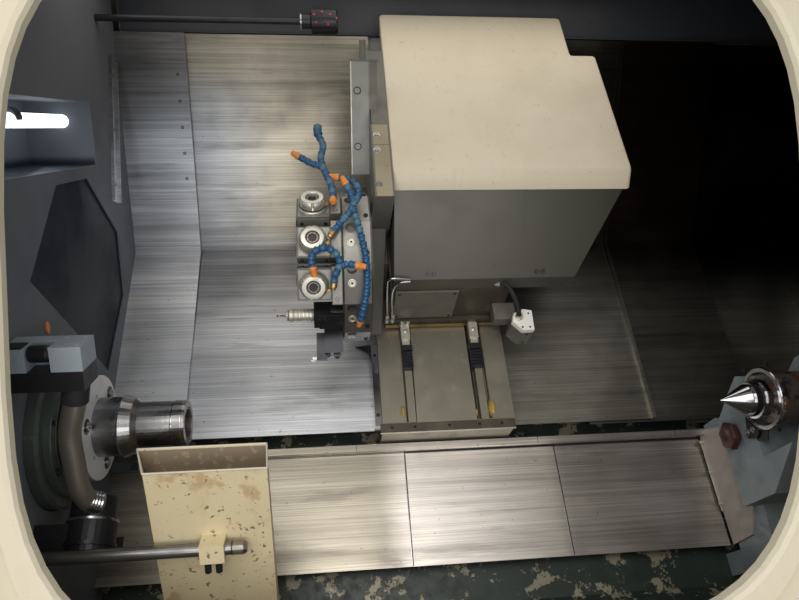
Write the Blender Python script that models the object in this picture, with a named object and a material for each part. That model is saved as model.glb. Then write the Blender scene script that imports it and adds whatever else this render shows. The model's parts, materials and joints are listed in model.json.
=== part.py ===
"""CNC turning lathe with a 45 degree slant bed, a driven turret and a tailstock.

Run with: blender --background --python part.py
Lengths are in metres. The machine stands on the floor plane, with its footprint's middle at the origin.
Two frames carry the pieces. The spindle frame has the spindle's axis as its X axis. The slope frame is
the same place turned by the bed's slant, so its Y runs up the slope and its Z stands out of it.
"""
import math

import bmesh
import bpy
from mathutils import Matrix, Vector

GAP = 0.0003
OVERRUN = 0.02
ROOT_HALF = math.sqrt(0.5)
ROOT_TWO = math.sqrt(2)
SPINDLE_HEIGHT = 1.05
BED_SLANT = math.radians(45)
FRONT_TILT = math.radians(13.4)

# Ends of the casing and of the work space, along the spindle from the chuck's face
CASING_LEFT = -1.40
CASING_RIGHT = 2.20
CASING_REAR = 1.05
CASING_FOOT = -1.00
SHEET = 0.004
FLOOR = -SPINDLE_HEIGHT
FRONT_FOOT = -0.535
WALL_FACE = -0.085
WALL_SHEET = 0.008
WALL_ROOM = 0.001
WALL_INSET = 0.008
SLOT_ROOM = 0.013
RIGHT_WALL = 1.97
CONVEYOR_END = 2.78

# The door opening, in the leaning front plane, which passes this far in front of the spindle's axis
FRONT_PLANE = -0.45
OPENING_X = 0.645
OPENING_HEIGHT = 0.3836
OPENING_HALF_WIDTH = 0.6196
OPENING_HALF_HEIGHT = 0.5664
OPENING_POWER = 3.94
RING_SIDE = 0.0266
RING_END = 0.0596
RING_DEPTH = 0.025
TOP_RIM = 0.11
ROOF_ROOM = 0.01
BEND_RIM = 0.1472
DOOR_LAP = (0.0153, 0.0361)
CASING_TOP = OPENING_HEIGHT + OPENING_HALF_HEIGHT + TOP_RIM
WORK_TOP = CASING_TOP - ROOF_ROOM
FRONT_BEND = OPENING_HEIGHT - OPENING_HALF_HEIGHT - BEND_RIM
DOOR_Z = (OPENING_HEIGHT - OPENING_HALF_HEIGHT - RING_END - DOOR_LAP[0],
          OPENING_HEIGHT + OPENING_HALF_HEIGHT + RING_END + DOOR_LAP[1])
PANEL_PIVOT = (2.02, -0.66)
PANEL_FRONT = 0.07
STOP_REACH = 0.026

# Levels on the slope, measured out from the spindle's axis
BED_FACE = -0.42
BED_TOE = -0.36
BED_LEDGE = -0.10
BED_BOTTOM = -0.70
BASE_TOP = -0.98
WAY_TOP = -0.385
SADDLE_TOP = -0.24
COVER_FACE = -0.30
COVER_SHEET = 0.004
MIDDLE_COVER_DROP = 0.012
END_COVER_DROP = 0.026
SIDE_COVER_RISE = 0.015
FRONT_COVER_FACE = -0.36
RIDGE_TOP = -0.335
CROSS_TOP = -0.05
COVER_FOLD_Y = 0.679
COVER_TOP_Z = 0.87
COVER_LOW = 0.065
COVER_LIP = 0.010
LEFT_COVER_START = -0.02
RIGHT_COVER_END = 1.385
MIDDLE_COVER_X = (1.20, 1.69)

# Stations along the spindle
SADDLE_X = (0.617, 0.969)
GUIDE_X = ((0.680, 0.709), (0.866, 0.909))
SLIDE_ROOM = 0.0103
CROSS_SLIDE_LEFT = 0.645
CROSS_SLIDE_FRONT = 0.350
DISC_X = (0.519, 0.588)
TURRET_U = 0.394
TURRET_REAR = 0.9043
HOUSING_LEFT = 0.6458
HOUSING_RIGHT = 1.240
HOUSING_NOTCH = 1.165
HOUSING_SHOULDER = 0.746
COVER_ROOM = 0.004
STATIONS = 12
STATION_PITCH = 2 * math.pi / STATIONS
DISC_APOTHEM = 0.18
SWING_RADIUS = 0.236
SWING_SIDES = 48
WAY_U = ((0.0975, 0.1425), (0.5375, 0.5825))

SPINDLE_RADIUS = 0.075
PULLEY_X = (-1.21, -1.13)
PULLEY_LIP = 0.008
SPINDLE_RIM = 0.100
MOTOR_RIM = 0.060
FRONT_BEARING_X = (-0.20, -0.12)
REAR_BEARING_X = (-0.92, -0.86)
NOSE_BORE = 0.11
NOSE_BOSS = 0.165
CHUCK_PLATE_BACK = -0.0457
QUILL_RADIUS = 0.062

CATCHER_Y = -0.245
CATCHER_Z = -0.142
CATCHER_RADIUS = 0.0125
SETTER_PLACE = (0.0097, -0.1948, -0.0074)

MATERIALS = {
    "cast_green": ((0.10, 0.12, 0.11), 0.55, 0.2),
    "grey_casting": ((0.22, 0.24, 0.24), 0.5, 0.2),
    "dark_sheet": ((0.07, 0.08, 0.10), 0.45, 0.4),
    "stainless": ((0.55, 0.53, 0.50), 0.32, 0.95),
    "cream_paint": ((0.66, 0.61, 0.47), 0.5, 0.0),
    "white_paint": ((0.75, 0.74, 0.70), 0.45, 0.0),
    "polished_steel": ((0.45, 0.45, 0.46), 0.12, 1.0),
    "machined_steel": ((0.38, 0.38, 0.38), 0.3, 1.0),
    "black_steel": ((0.03, 0.03, 0.035), 0.4, 0.6),
    "lamp_glass": ((0.9, 0.93, 0.95), 0.2, 0.0),
    "blue_plastic": ((0.05, 0.22, 0.42), 0.35, 0.0),
    "rubber": ((0.02, 0.02, 0.02), 0.8, 0.0),
    "window_glass": ((0.55, 0.62, 0.62), 0.05, 0.0),
    "stop_red": ((0.65, 0.03, 0.02), 0.35, 0.0),
}


def clear_scene():
    for thing in list(bpy.data.objects):
        bpy.data.objects.remove(thing, do_unlink=True)


def material(name):
    found = bpy.data.materials.get(name)
    if found:
        return found
    colour, roughness, metallic = MATERIALS[name]
    made = bpy.data.materials.new(name)
    made.use_nodes = True
    shader = made.node_tree.nodes["Principled BSDF"]
    shader.inputs["Base Color"].default_value = (*colour, 1.0)
    shader.inputs["Roughness"].default_value = roughness
    shader.inputs["Metallic"].default_value = metallic
    return made


def frame(name, parent=None, place=(0, 0, 0), turn=(0, 0, 0)):
    empty = bpy.data.objects.new(name, None)
    empty.location = place
    empty.rotation_euler = turn
    empty.parent = parent
    bpy.context.scene.collection.objects.link(empty)
    return empty


def add_mesh(name, parent, finish, shape, smooth=False):
    """Turns a bmesh into an object that hangs on a frame."""
    bmesh.ops.recalc_face_normals(shape, faces=shape.faces)
    mesh = bpy.data.meshes.new(name)
    shape.to_mesh(mesh)
    shape.free()
    if smooth:
        mesh.shade_smooth()
        mesh.set_sharp_from_angle(angle=math.radians(35))
    mesh.materials.append(material(finish))
    made = bpy.data.objects.new(name, mesh)
    made.parent = parent
    bpy.context.scene.collection.objects.link(made)
    return made


def lofted(name, parent, finish, sections, smooth=False):
    """Joins equal rings of points, first to last, and closes both ends."""
    shape = bmesh.new()
    rings = [[shape.verts.new(point) for point in section] for section in sections]
    for near, far in zip(rings, rings[1:]):
        for index in range(len(near)):
            after = (index + 1) % len(near)
            shape.faces.new((near[index], near[after], far[after], far[index]))
    shape.faces.new(rings[0])
    shape.faces.new(rings[-1])
    return add_mesh(name, parent, finish, shape, smooth)


def along_x(name, parent, finish, outline, span, smooth=False):
    sections = [[(x, y, z) for y, z in outline] for x in span]
    return lofted(name, parent, finish, sections, smooth)


def along_y(name, parent, finish, outline, span, smooth=False):
    sections = [[(x, y, z) for x, z in outline] for y in span]
    return lofted(name, parent, finish, sections, smooth)


def along_z(name, parent, finish, outline, span, smooth=False):
    sections = [[(x, y, z) for x, y in outline] for z in span]
    return lofted(name, parent, finish, sections, smooth)


def slab(name, parent, finish, x, y, z):
    outline = [(y[0], z[0]), (y[1], z[0]), (y[1], z[1]), (y[0], z[1])]
    return along_x(name, parent, finish, outline, x)


def circle(middle, radius, sides, start=0.0):
    angles = [start + 2 * math.pi * side / sides for side in range(sides)]
    return [(middle[0] + radius * math.cos(a), middle[1] + radius * math.sin(a)) for a in angles]


def turned(name, parent, finish, profile, sides=32, middle=(0, 0), start=0.0):
    """Revolves (x, radius) points about a line along X; a profile that ends as it began makes a ring."""
    closed = profile[0] == profile[-1]
    rows = profile[:-1] if closed else profile
    shape = bmesh.new()
    rings = []
    for x, radius in rows:
        if radius == 0:
            rings.append([shape.verts.new((x, *middle))] * sides)
            continue
        rings.append([shape.verts.new((x, y, z)) for y, z in circle(middle, radius, sides, start)])
    pairs = list(zip(rings, rings[1:]))
    if closed:
        pairs.append((rings[-1], rings[0]))
    for near, far in pairs:
        for index in range(sides):
            after = (index + 1) % sides
            corners = []
            for vert in (near[index], near[after], far[after], far[index]):
                if vert not in corners:
                    corners.append(vert)
            if len(corners) > 2:
                shape.faces.new(corners)
    if not closed:
        for ring in (rings[0], rings[-1]):
            if len(set(ring)) > 2:
                shape.faces.new(ring)
    return add_mesh(name, parent, finish, shape, smooth=True)


def smooth_path(points, step):
    """Even points on a smooth curve through the given ones."""
    points = [Vector(point) for point in points]
    ends = [points[0] * 2 - points[1]] + points + [points[-1] * 2 - points[-2]]
    line = []
    for before, start, end, after in zip(ends, ends[1:], ends[2:], ends[3:]):
        count = max(2, round((end - start).length / step))
        for index in range(count):
            t = index / count
            line.append(start + ((end - before) * t
                                 + (2 * before - 5 * start + 4 * end - after) * t * t
                                 + (3 * start - before - 3 * end + after) * t * t * t) / 2)
    line.append(points[-1])
    return line


def tube(name, parent, finish, path, radii, sides):
    """Sweeps a round section along a path; the radii repeat from point to point."""
    sections = []
    side_way = None
    for index, point in enumerate(path):
        ahead = path[min(index + 1, len(path) - 1)] - path[max(index - 1, 0)]
        ahead.normalize()
        if side_way is None:
            side_way = ahead.orthogonal()
        side_way = (side_way - ahead * side_way.dot(ahead)).normalized()
        up_way = ahead.cross(side_way)
        radius = radii[index % len(radii)]
        sections.append([point + side_way * y + up_way * z for y, z in circle((0, 0), radius, sides)])
    return lofted(name, parent, finish, sections, smooth=True)


def combine(target, tool, operation):
    tool.hide_render = True
    tool.display_type = "WIRE"
    step = target.modifiers.new(operation.lower(), "BOOLEAN")
    step.operation = operation
    step.solver = "EXACT"
    step.object = tool
    return target


def cut(target, *tools):
    for tool in tools:
        combine(target, tool, "DIFFERENCE")
    return target


def join(target, *tools):
    for tool in tools:
        combine(target, tool, "UNION")
    return target


def rounded(target, width):
    step = target.modifiers.new("edges", "BEVEL")
    step.width = width
    step.segments = 1
    step.limit_method = "ANGLE"
    return target


def level(u, n):
    """Slope frame to spindle frame."""
    return ((u - n) * ROOT_HALF, (u + n) * ROOT_HALF)


def opening_curve(grow_side=0.0, grow_end=0.0, count=56):
    half_width = OPENING_HALF_WIDTH + grow_side
    half_height = OPENING_HALF_HEIGHT + grow_end
    points = []
    for index in range(count):
        angle = math.pi * (2 * index + 1) / count
        across, up = math.cos(angle), math.sin(angle)
        x = math.copysign(abs(across) ** (2 / OPENING_POWER), across)
        z = math.copysign(abs(up) ** (2 / OPENING_POWER), up)
        points.append((OPENING_X + half_width * x, OPENING_HEIGHT + half_height * z))
    return points


def front_line(z):
    """Depth of the leaning front plane at a height."""
    return FRONT_PLANE + z * math.tan(FRONT_TILT)


def folded_cover(name, parent, finish, x, face, lower_u, lip=0.0):
    """A sheet that lies on the slope and is folded up to stand against the rear wall."""
    drop = COVER_FACE - face
    front_y = COVER_FOLD_Y + drop * ROOT_TWO
    back_y = front_y + COVER_SHEET
    fold = front_y * ROOT_TWO + face
    back_fold = back_y * ROOT_TWO + face - COVER_SHEET
    outline = [level(lower_u, face), level(fold, face), (front_y, COVER_TOP_Z), (back_y, COVER_TOP_Z),
               level(back_fold, face - COVER_SHEET), level(lower_u, face - COVER_SHEET)]
    sheet = along_x(name, parent, finish, outline, x)
    if lip:
        lip_rise = 0.010
        over_y = front_y - lip_rise
        over_fold = over_y * ROOT_TWO + face + lip_rise
        bead = [level(lower_u, face - COVER_SHEET / 2), level(lower_u, face + lip_rise),
                level(over_fold, face + lip_rise), (over_y, COVER_TOP_Z),
                (front_y + COVER_SHEET / 2, COVER_TOP_Z),
                level(fold + COVER_SHEET / 2, face - COVER_SHEET / 2)]
        join(sheet, along_x(name + "_lip", parent, finish, bead, (x[1] - lip, x[1])))
    return sheet


# Bed, base and headstock


def machine_base(spindle):
    slab_z = (-1.020, BASE_TOP)
    slab_x = (CASING_LEFT + SHEET + GAP, CASING_RIGHT - SHEET - GAP)
    slab_y = (FRONT_FOOT + SHEET + GAP, CASING_REAR - SHEET - GAP)
    base = slab("machine_base", spindle, "cast_green", slab_x, slab_y, slab_z)
    block_x = (-1.30, 2.08)
    block_y = (0.10, 0.95)
    block_z = (BASE_TOP - OVERRUN / 2, BED_BOTTOM - GAP)
    join(base, slab("base_block", spindle, "cast_green", block_x, block_y, block_z))
    foot_radius = 0.05
    foot_inset = 0.10
    feet_x = (slab_x[0] + foot_inset, (slab_x[0] + slab_x[1]) / 2, slab_x[1] - foot_inset)
    feet_y = (slab_y[0] + foot_inset, slab_y[1] - foot_inset)
    foot_z = (FLOOR, slab_z[0] + OVERRUN)
    for x in feet_x:
        for y in feet_y:
            foot = along_z("base_foot", spindle, "cast_green", circle((x, y), foot_radius, 16), foot_z)
            join(base, foot)
    return base


def slant_bed(spindle, tilted):
    bed_x = (-1.30, 2.05)
    rear_u = 0.95
    rear_y, rear_z = level(rear_u, BED_FACE)
    toe_y, toe_z = level(BED_TOE, BED_FACE)
    outline = [(BED_LEDGE, BED_BOTTOM), (BED_LEDGE, toe_z), (toe_y, toe_z), (rear_y, rear_z),
               (rear_y, BED_BOTTOM)]
    bed = along_x("slant_bed", spindle, "cast_green", outline, bed_x)
    way_x = (-0.05, RIGHT_WALL - OVERRUN)
    root = BED_FACE - OVERRUN
    for u in WAY_U:
        join(bed, slab("carriage_way", tilted, "machined_steel", way_x, u, (root, WAY_TOP)))
    core_inset = 0.14
    core_z = (-0.62, -0.45)
    core_y = 0.30
    pocket_share = 0.24
    for index in range(3):
        start = bed_x[0] + core_inset + index * (bed_x[1] - bed_x[0]) / 3
        pocket_x = (start, start + (bed_x[1] - bed_x[0]) * pocket_share)
        cut(bed, slab("bed_core", spindle, "cast_green", pocket_x, (core_y, rear_y + OVERRUN), core_z))
    return bed


def headstock_casting(spindle, tilted):
    body_x = (-0.95, -0.10)
    half = 0.25
    roof = 0.21
    corner = 0.09
    outline = [(-half, BED_FACE + GAP), (half, BED_FACE + GAP), (half, roof - corner), (half - corner, roof),
               (-half + corner, roof), (-half, roof - corner)]
    body = along_x("headstock_casting", tilted, "grey_casting", outline, body_x)
    boss_end = -0.060
    lead = 0.006
    ring_radius = 0.142
    ring_end = CHUCK_PLATE_BACK - 4 * GAP
    boss = [(body_x[1] - OVERRUN, 0), (body_x[1] - OVERRUN, NOSE_BOSS), (boss_end - lead, NOSE_BOSS),
            (boss_end, NOSE_BOSS - lead), (boss_end, ring_radius), (ring_end - lead / 2, ring_radius),
            (ring_end, ring_radius - lead / 2), (ring_end, 0)]
    join(body, turned("nose_boss", spindle, "grey_casting", boss, 40))
    bore = (body_x[0] - OVERRUN, OVERRUN)
    cut(body, along_x("nose_bore", spindle, "grey_casting", circle((0, 0), NOSE_BORE, 40), bore))
    slot_x = (-0.42, body_x[1] + OVERRUN)
    slot_low = 0.05
    slot_u = (slot_low, half + OVERRUN)
    slot_n = (COVER_FACE - SLOT_ROOM, COVER_FACE + SLOT_ROOM)
    cut(body, slab("cover_slot", tilted, "grey_casting", slot_x, slot_u, slot_n))
    return body


def spindle_bearing(name, spindle, x):
    profile = [(x[0], SPINDLE_RADIUS + GAP), (x[0], NOSE_BORE - GAP), (x[1], NOSE_BORE - GAP),
               (x[1], SPINDLE_RADIUS + GAP), (x[0], SPINDLE_RADIUS + GAP)]
    return turned(name, spindle, "machined_steel", profile, 40)


def spindle_group(spindle):
    bore = 0.030
    nose_x = CHUCK_PLATE_BACK - GAP
    tail_x = -1.25
    tail_radius = 0.062
    tail_end = -0.93
    nose_start = -0.10
    nose_radius = 0.100
    shaft = [(tail_x, bore), (tail_x, tail_radius), (tail_end, tail_radius), (tail_end, SPINDLE_RADIUS),
             (nose_start, SPINDLE_RADIUS), (nose_start, nose_radius), (nose_x, nose_radius), (nose_x, bore),
             (tail_x, bore)]
    turned("spindle_shaft", spindle, "machined_steel", shaft, 40)

    left, right = PULLEY_X
    flange = SPINDLE_RIM + PULLEY_LIP
    hub = tail_radius + GAP
    pulley = [(left, hub), (left, flange), (left + PULLEY_LIP, flange), (left + PULLEY_LIP, SPINDLE_RIM),
              (right - PULLEY_LIP, SPINDLE_RIM), (right - PULLEY_LIP, flange), (right, flange), (right, hub),
              (left, hub)]
    turned("spindle_pulley", spindle, "machined_steel", pulley, 40)

    cap_x = -1.375
    cap_radius = 0.055
    cylinder_x = -1.345
    cylinder_radius = 0.085
    cylinder = [(cap_x, 0), (cap_x, cap_radius), (cylinder_x, cap_radius), (cylinder_x, cylinder_radius),
                (tail_x - GAP, cylinder_radius), (tail_x - GAP, 0)]
    turned("chuck_cylinder", spindle, "grey_casting", cylinder, 32)

    back_radius = 0.104
    groove_x = (-0.024, -0.018)
    groove_radius = 0.098
    flange_radius = 0.110
    plate = [(CHUCK_PLATE_BACK, bore), (CHUCK_PLATE_BACK, back_radius), (groove_x[0], back_radius),
             (groove_x[0], groove_radius), (groove_x[1], groove_radius), (groove_x[1], flange_radius),
             (0, flange_radius), (0, bore), (CHUCK_PLATE_BACK, bore)]
    turned("chuck_plate", spindle, "machined_steel", plate, 48)

    collet_bore = 0.020
    base_radius, base_end = 0.0625, 0.048
    collar_radius, collar_x = 0.066, 0.052
    cone_radius, cone_x = 0.0585, 0.074
    neck_radius, neck_x = 0.0495, 0.084
    band_radius, band_x = 0.0505, (0.154, 0.172)
    band_lead = 0.002
    end_radius, end_x = 0.0485, 0.18
    mouth_radius, mouth_root = 0.036, 0.033
    mouth_x = 0.130
    body = [(GAP, collet_bore), (GAP, base_radius), (base_end, base_radius), (collar_x, collar_radius),
            (cone_x, cone_radius), (neck_x, neck_radius), (band_x[0] - band_lead, neck_radius),
            (band_x[0], band_radius), (band_x[1], band_radius), (end_x, end_radius), (end_x, mouth_radius),
            (mouth_x, mouth_root), (mouth_x, collet_bore), (GAP, collet_bore)]
    turned("collet_chuck", spindle, "polished_steel", body, 48)


def drive_group(spindle):
    place = (-0.26, -0.62)
    motor_radius = 0.12
    end_radius = 0.10
    motor_x = (-1.10, -0.60)
    front_lead = 0.06
    rear_lead = 0.01
    body = [(motor_x[0], 0), (motor_x[0], end_radius), (motor_x[0] + rear_lead, motor_radius),
            (motor_x[1] - front_lead, motor_radius), (motor_x[1], end_radius), (motor_x[1], 0)]
    motor = turned("spindle_motor", spindle, "grey_casting", body, 32, place)
    foot_x = (-1.05, -0.65)
    foot_y = (place[0] - end_radius, place[0] + end_radius)
    foot_z = (BASE_TOP + GAP, place[1])
    join(motor, slab("motor_foot", spindle, "grey_casting", foot_x, foot_y, foot_z))
    shaft_radius = 0.024
    left, right = PULLEY_X
    flange = MOTOR_RIM + PULLEY_LIP
    shaft_end = motor_x[0] - GAP
    pulley = [(left, 0), (left, flange), (left + PULLEY_LIP, flange), (left + PULLEY_LIP, MOTOR_RIM),
              (right - PULLEY_LIP, MOTOR_RIM), (right - PULLEY_LIP, flange), (right, flange),
              (right, shaft_radius), (shaft_end, shaft_radius), (shaft_end, 0)]
    turned("motor_pulley", spindle, "machined_steel", pulley, 32, place)
    belt_outline(spindle, (0, 0), SPINDLE_RIM + GAP, place, MOTOR_RIM + GAP)


def belt_outline(spindle, top, top_radius, low, low_radius):
    """A belt round two pulleys, as the hull of two circles with a hull-shaped hole."""
    thickness = 0.007
    side_room = 0.002
    margin = PULLEY_LIP + side_room
    belt_x = (PULLEY_X[0] + margin, PULLEY_X[1] - margin)
    way = Vector(low) - Vector(top)
    lean = math.acos((top_radius - low_radius) / way.length)
    heading = math.atan2(way.y, way.x)
    arc_steps = 14

    def hull(grow):
        points = []
        for middle, radius, first, last in ((top, top_radius, heading + lean, heading + 2 * math.pi - lean),
                                            (low, low_radius, heading - lean, heading + lean)):
            clear = (radius + grow) / math.cos((last - first) / arc_steps / 2)
            for index in range(arc_steps + 1):
                angle = first + (last - first) * index / arc_steps
                points.append((middle[0] + clear * math.cos(angle), middle[1] + clear * math.sin(angle)))
        return points

    ring_between("drive_belt", spindle, "rubber", hull(thickness), hull(0), belt_x)


def ring_between(name, parent, finish, outer, inner, span):
    """A ring along X between two outlines with the same number of points."""
    shape = bmesh.new()
    loops = [[shape.verts.new((x, *point)) for point in line] for x in span for line in (outer, inner)]
    near_out, near_in, far_out, far_in = loops
    for first, second in ((near_out, far_out), (far_out, far_in), (far_in, near_in), (near_in, near_out)):
        for index in range(len(outer)):
            after = (index + 1) % len(outer)
            shape.faces.new((first[index], first[after], second[after], second[index]))
    return add_mesh(name, parent, finish, shape, smooth=True)


# Work space walls and covers


def splash_wall(spindle, tilted):
    clear_y = COVER_FOLD_Y - SLOT_ROOM
    clear_n = COVER_FACE + SLOT_ROOM
    fold = clear_y * ROOT_TWO + clear_n
    low_u = 0.05
    toe_y, toe_z = level(BED_TOE, BED_FACE + GAP)
    ledge_y = BED_LEDGE - WALL_ROOM
    ledge_z = toe_z + GAP
    front_low = -0.60
    bend_y = front_line(FRONT_BEND) + WALL_INSET
    outline = [(front_line(WORK_TOP) + WALL_INSET, WORK_TOP), (clear_y, WORK_TOP), level(fold, clear_n),
               level(low_u, clear_n), level(low_u, BED_FACE + GAP), (toe_y, ledge_z), (ledge_y, ledge_z),
               (ledge_y, front_low), (bend_y, front_low), (bend_y, FRONT_BEND)]
    wall = along_x("splash_wall", spindle, "dark_sheet", outline, (WALL_FACE - WALL_SHEET, WALL_FACE))
    through = (WALL_FACE - WALL_SHEET - OVERRUN, WALL_FACE + OVERRUN)
    hole = circle((0, 0), NOSE_BOSS + 2 * WALL_ROOM, 40)
    cut(wall, along_x("nose_hole", spindle, "dark_sheet", hole, through))
    niche_y = (-0.073, 0.41)
    niche_z = (0.525, 0.675)
    niche_depth = 0.16
    shell = 0.003
    outer_y = (niche_y[0] - shell, niche_y[1] + shell)
    outer_z = (niche_z[0] - shell, niche_z[1] + shell)
    niche_x = (WALL_FACE - niche_depth, WALL_FACE)
    join(wall, slab("niche_shell", spindle, "dark_sheet", niche_x, outer_y, outer_z))
    hollow_x = (WALL_FACE - niche_depth + shell, WALL_FACE + OVERRUN)
    cut(wall, slab("niche_hollow", spindle, "dark_sheet", hollow_x, niche_y, niche_z))
    roof_z = 0.4965
    roof_y = (0.146, 0.332)
    side_z = (0.162, 0.336)
    side_y = 0.517
    side_lean = 0.006
    foot = (0.325, 0.004)
    heel = (0.122, 0.191)
    nose = (-0.035, 0.328)
    panel = [(roof_y[0], roof_z), (roof_y[1], roof_z), (side_y, side_z[1]), (side_y - side_lean, side_z[0]),
             foot, heel, nose]
    panel_depth = 0.005
    panel_x = (WALL_FACE - panel_depth, WALL_FACE + OVERRUN)
    cut(wall, along_x("wall_recess", spindle, "dark_sheet", panel, panel_x))
    catcher = (CATCHER_Y, CATCHER_Z)
    hub_radius = 0.022
    hub_length = 0.09
    hub_x = (WALL_FACE - hub_length, WALL_FACE - WALL_SHEET / 2)
    join(wall, along_x("catcher_hub", spindle, "dark_sheet", circle(catcher, hub_radius, 24), hub_x))
    hole_x = (hub_x[0] - OVERRUN, WALL_FACE + OVERRUN)
    bar_hole = circle(catcher, CATCHER_RADIUS + GAP, 24)
    cut(wall, along_x("catcher_hole", spindle, "dark_sheet", bar_hole, hole_x))
    return wall


def work_lamp(spindle):
    radius = 0.016
    lamp_z = 0.63
    lamp_inset = 0.07
    lamp_x = WALL_FACE - lamp_inset
    lamp_y = (-0.06, 0.4097)
    section = circle((lamp_x, lamp_z), radius, 20)
    lamp = along_y("work_lamp", spindle, "lamp_glass", section, lamp_y, smooth=True)
    foot_reach = 0.087
    foot_length = foot_reach - GAP
    foot_half = 0.006
    foot_y = (0.15, 0.20)
    foot_x = (lamp_x - foot_length, lamp_x)
    foot_z = (lamp_z - foot_half, lamp_z + foot_half)
    join(lamp, slab("lamp_foot", spindle, "dark_sheet", foot_x, foot_y, foot_z))
    return lamp


def side_cover(spindle):
    x = (WALL_FACE + GAP, 0.105)
    lower_u = 0.060
    face = COVER_FACE + SIDE_COVER_RISE
    return folded_cover("side_cover", spindle, "stainless", x, face, lower_u)


def front_covers(tilted):
    """Three fixed plates below the ridge, each let in a little under the one on its left."""
    joints = (WALL_FACE + GAP, 0.68, 1.10, 1.53)
    plate_u = (-0.27, 0.030)
    sheet = 0.006
    step = 0.003
    made = None
    for index, (start, end) in enumerate(zip(joints, joints[1:])):
        top = FRONT_COVER_FACE - step * index
        first = start - step if index else start
        plate = slab("front_cover_part", tilted, "stainless", (first, end), plate_u, (top - sheet, top))
        if made is None:
            made = plate
            made.name = "front_covers"
        else:
            join(made, plate)
    ridge_x = (WALL_FACE + GAP, RIGHT_WALL - OVERRUN / 2)
    ridge_u = (0.022, 0.040)
    join(made, slab("ridge", tilted, "grey_casting", ridge_x, ridge_u, (FRONT_COVER_FACE - sheet, RIDGE_TOP)))
    leg_x = (0.30, 0.36)
    leg_pitch = 0.45
    leg_u = (-0.02, 0.03)
    for index in range(3):
        span = (leg_x[0] + index * leg_pitch, leg_x[1] + index * leg_pitch)
        leg_n = (BED_FACE + GAP, FRONT_COVER_FACE - step * index - sheet / 2)
        join(made, slab("cover_leg", tilted, "grey_casting", span, leg_u, leg_n))
    return made


def end_cover(spindle, tilted):
    """The fixed cover beside the right wall, in one piece with that wall."""
    face = COVER_FACE - END_COVER_DROP
    cover_x = (1.50, RIGHT_WALL + SHEET / 2)
    cover_low = 0.055
    cover = folded_cover("right_wall", spindle, "dark_sheet", cover_x, face, cover_low)
    front_low = -0.60
    rear_y = 0.712
    rear_low = 0.27
    wall_u = 0.06
    toe_y, toe_z = level(BED_TOE, BED_FACE + GAP)
    ledge_y = BED_LEDGE - WALL_ROOM
    bend_y = front_line(FRONT_BEND) + WALL_INSET
    outline = [(front_line(WORK_TOP) + WALL_INSET, WORK_TOP), (rear_y, WORK_TOP), (rear_y, rear_low),
               level(wall_u, BED_FACE + GAP), (toe_y, toe_z + GAP), (ledge_y, toe_z + GAP),
               (ledge_y, front_low), (bend_y, front_low), (bend_y, FRONT_BEND)]
    plate_x = (RIGHT_WALL, RIGHT_WALL + WALL_SHEET)
    join(cover, along_x("right_wall_plate", spindle, "dark_sheet", outline, plate_x))
    return cover


# Enclosure


def casing(spindle, front):
    skin = SHEET
    top_y = front_line(CASING_TOP)
    bend_y = front_line(FRONT_BEND)
    front_x = (CASING_LEFT, CASING_RIGHT)
    outline = [(FRONT_FOOT, CASING_FOOT), (bend_y - skin, FRONT_BEND), (top_y - skin, CASING_TOP),
               (top_y, CASING_TOP), (bend_y, FRONT_BEND), (FRONT_FOOT + skin, CASING_FOOT)]
    panel = along_x("front_casing", spindle, "cream_paint", outline, front_x)
    hole = opening_curve(RING_SIDE + GAP, RING_END + GAP)
    cut(panel, along_y("front_hole", front, "cream_paint", hole, (-RING_DEPTH - OVERRUN, OVERRUN * 2)))
    rail_x = (CASING_LEFT + skin, 1.36)
    rail_y = (-0.075, -skin / 2)
    rail_sheet = 0.009
    low_z, high_z = DOOR_Z[0] - GAP, DOOR_Z[1] + GAP
    for rail_z in ((low_z - rail_sheet, low_z), (high_z, high_z + rail_sheet)):
        join(panel, slab("door_rail", front, "cream_paint", rail_x, rail_y, rail_z))
    side = [(FRONT_FOOT + skin + GAP, CASING_FOOT), (bend_y + GAP, FRONT_BEND), (top_y + GAP, CASING_TOP),
            (CASING_REAR, CASING_TOP), (CASING_REAR, CASING_FOOT)]
    along_x("left_casing", spindle, "white_paint", side, (CASING_LEFT, CASING_LEFT + skin))
    right_x = (CASING_RIGHT - skin, CASING_RIGHT)
    right = along_x("right_casing", spindle, "white_paint", side, right_x)
    mouth_x = (right_x[0] - OVERRUN, right_x[1] + OVERRUN)
    mouth_y = (-0.50, 0.0)
    mouth_z = (CASING_FOOT - OVERRUN, -0.52)
    cut(right, slab("conveyor_mouth", spindle, "white_paint", mouth_x, mouth_y, mouth_z))
    inside_x = (CASING_LEFT + skin + GAP, CASING_RIGHT - skin - GAP)
    roof_y = (top_y + GAP, CASING_REAR)
    roof = slab("rear_casing", spindle, "white_paint", inside_x, roof_y, (CASING_TOP - skin, CASING_TOP))
    rear_y = (CASING_REAR - skin, CASING_REAR)
    join(roof, slab("rear_sheet", spindle, "white_paint", inside_x, rear_y, (CASING_FOOT, CASING_TOP)))
    screen_y = (0.724, 0.728)
    screen_x = (WALL_FACE, RIGHT_WALL + WALL_SHEET)
    screen_z = (0.28, CASING_TOP - skin / 2)
    join(roof, slab("rear_screen", spindle, "dark_sheet", screen_x, screen_y, screen_z))


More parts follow.
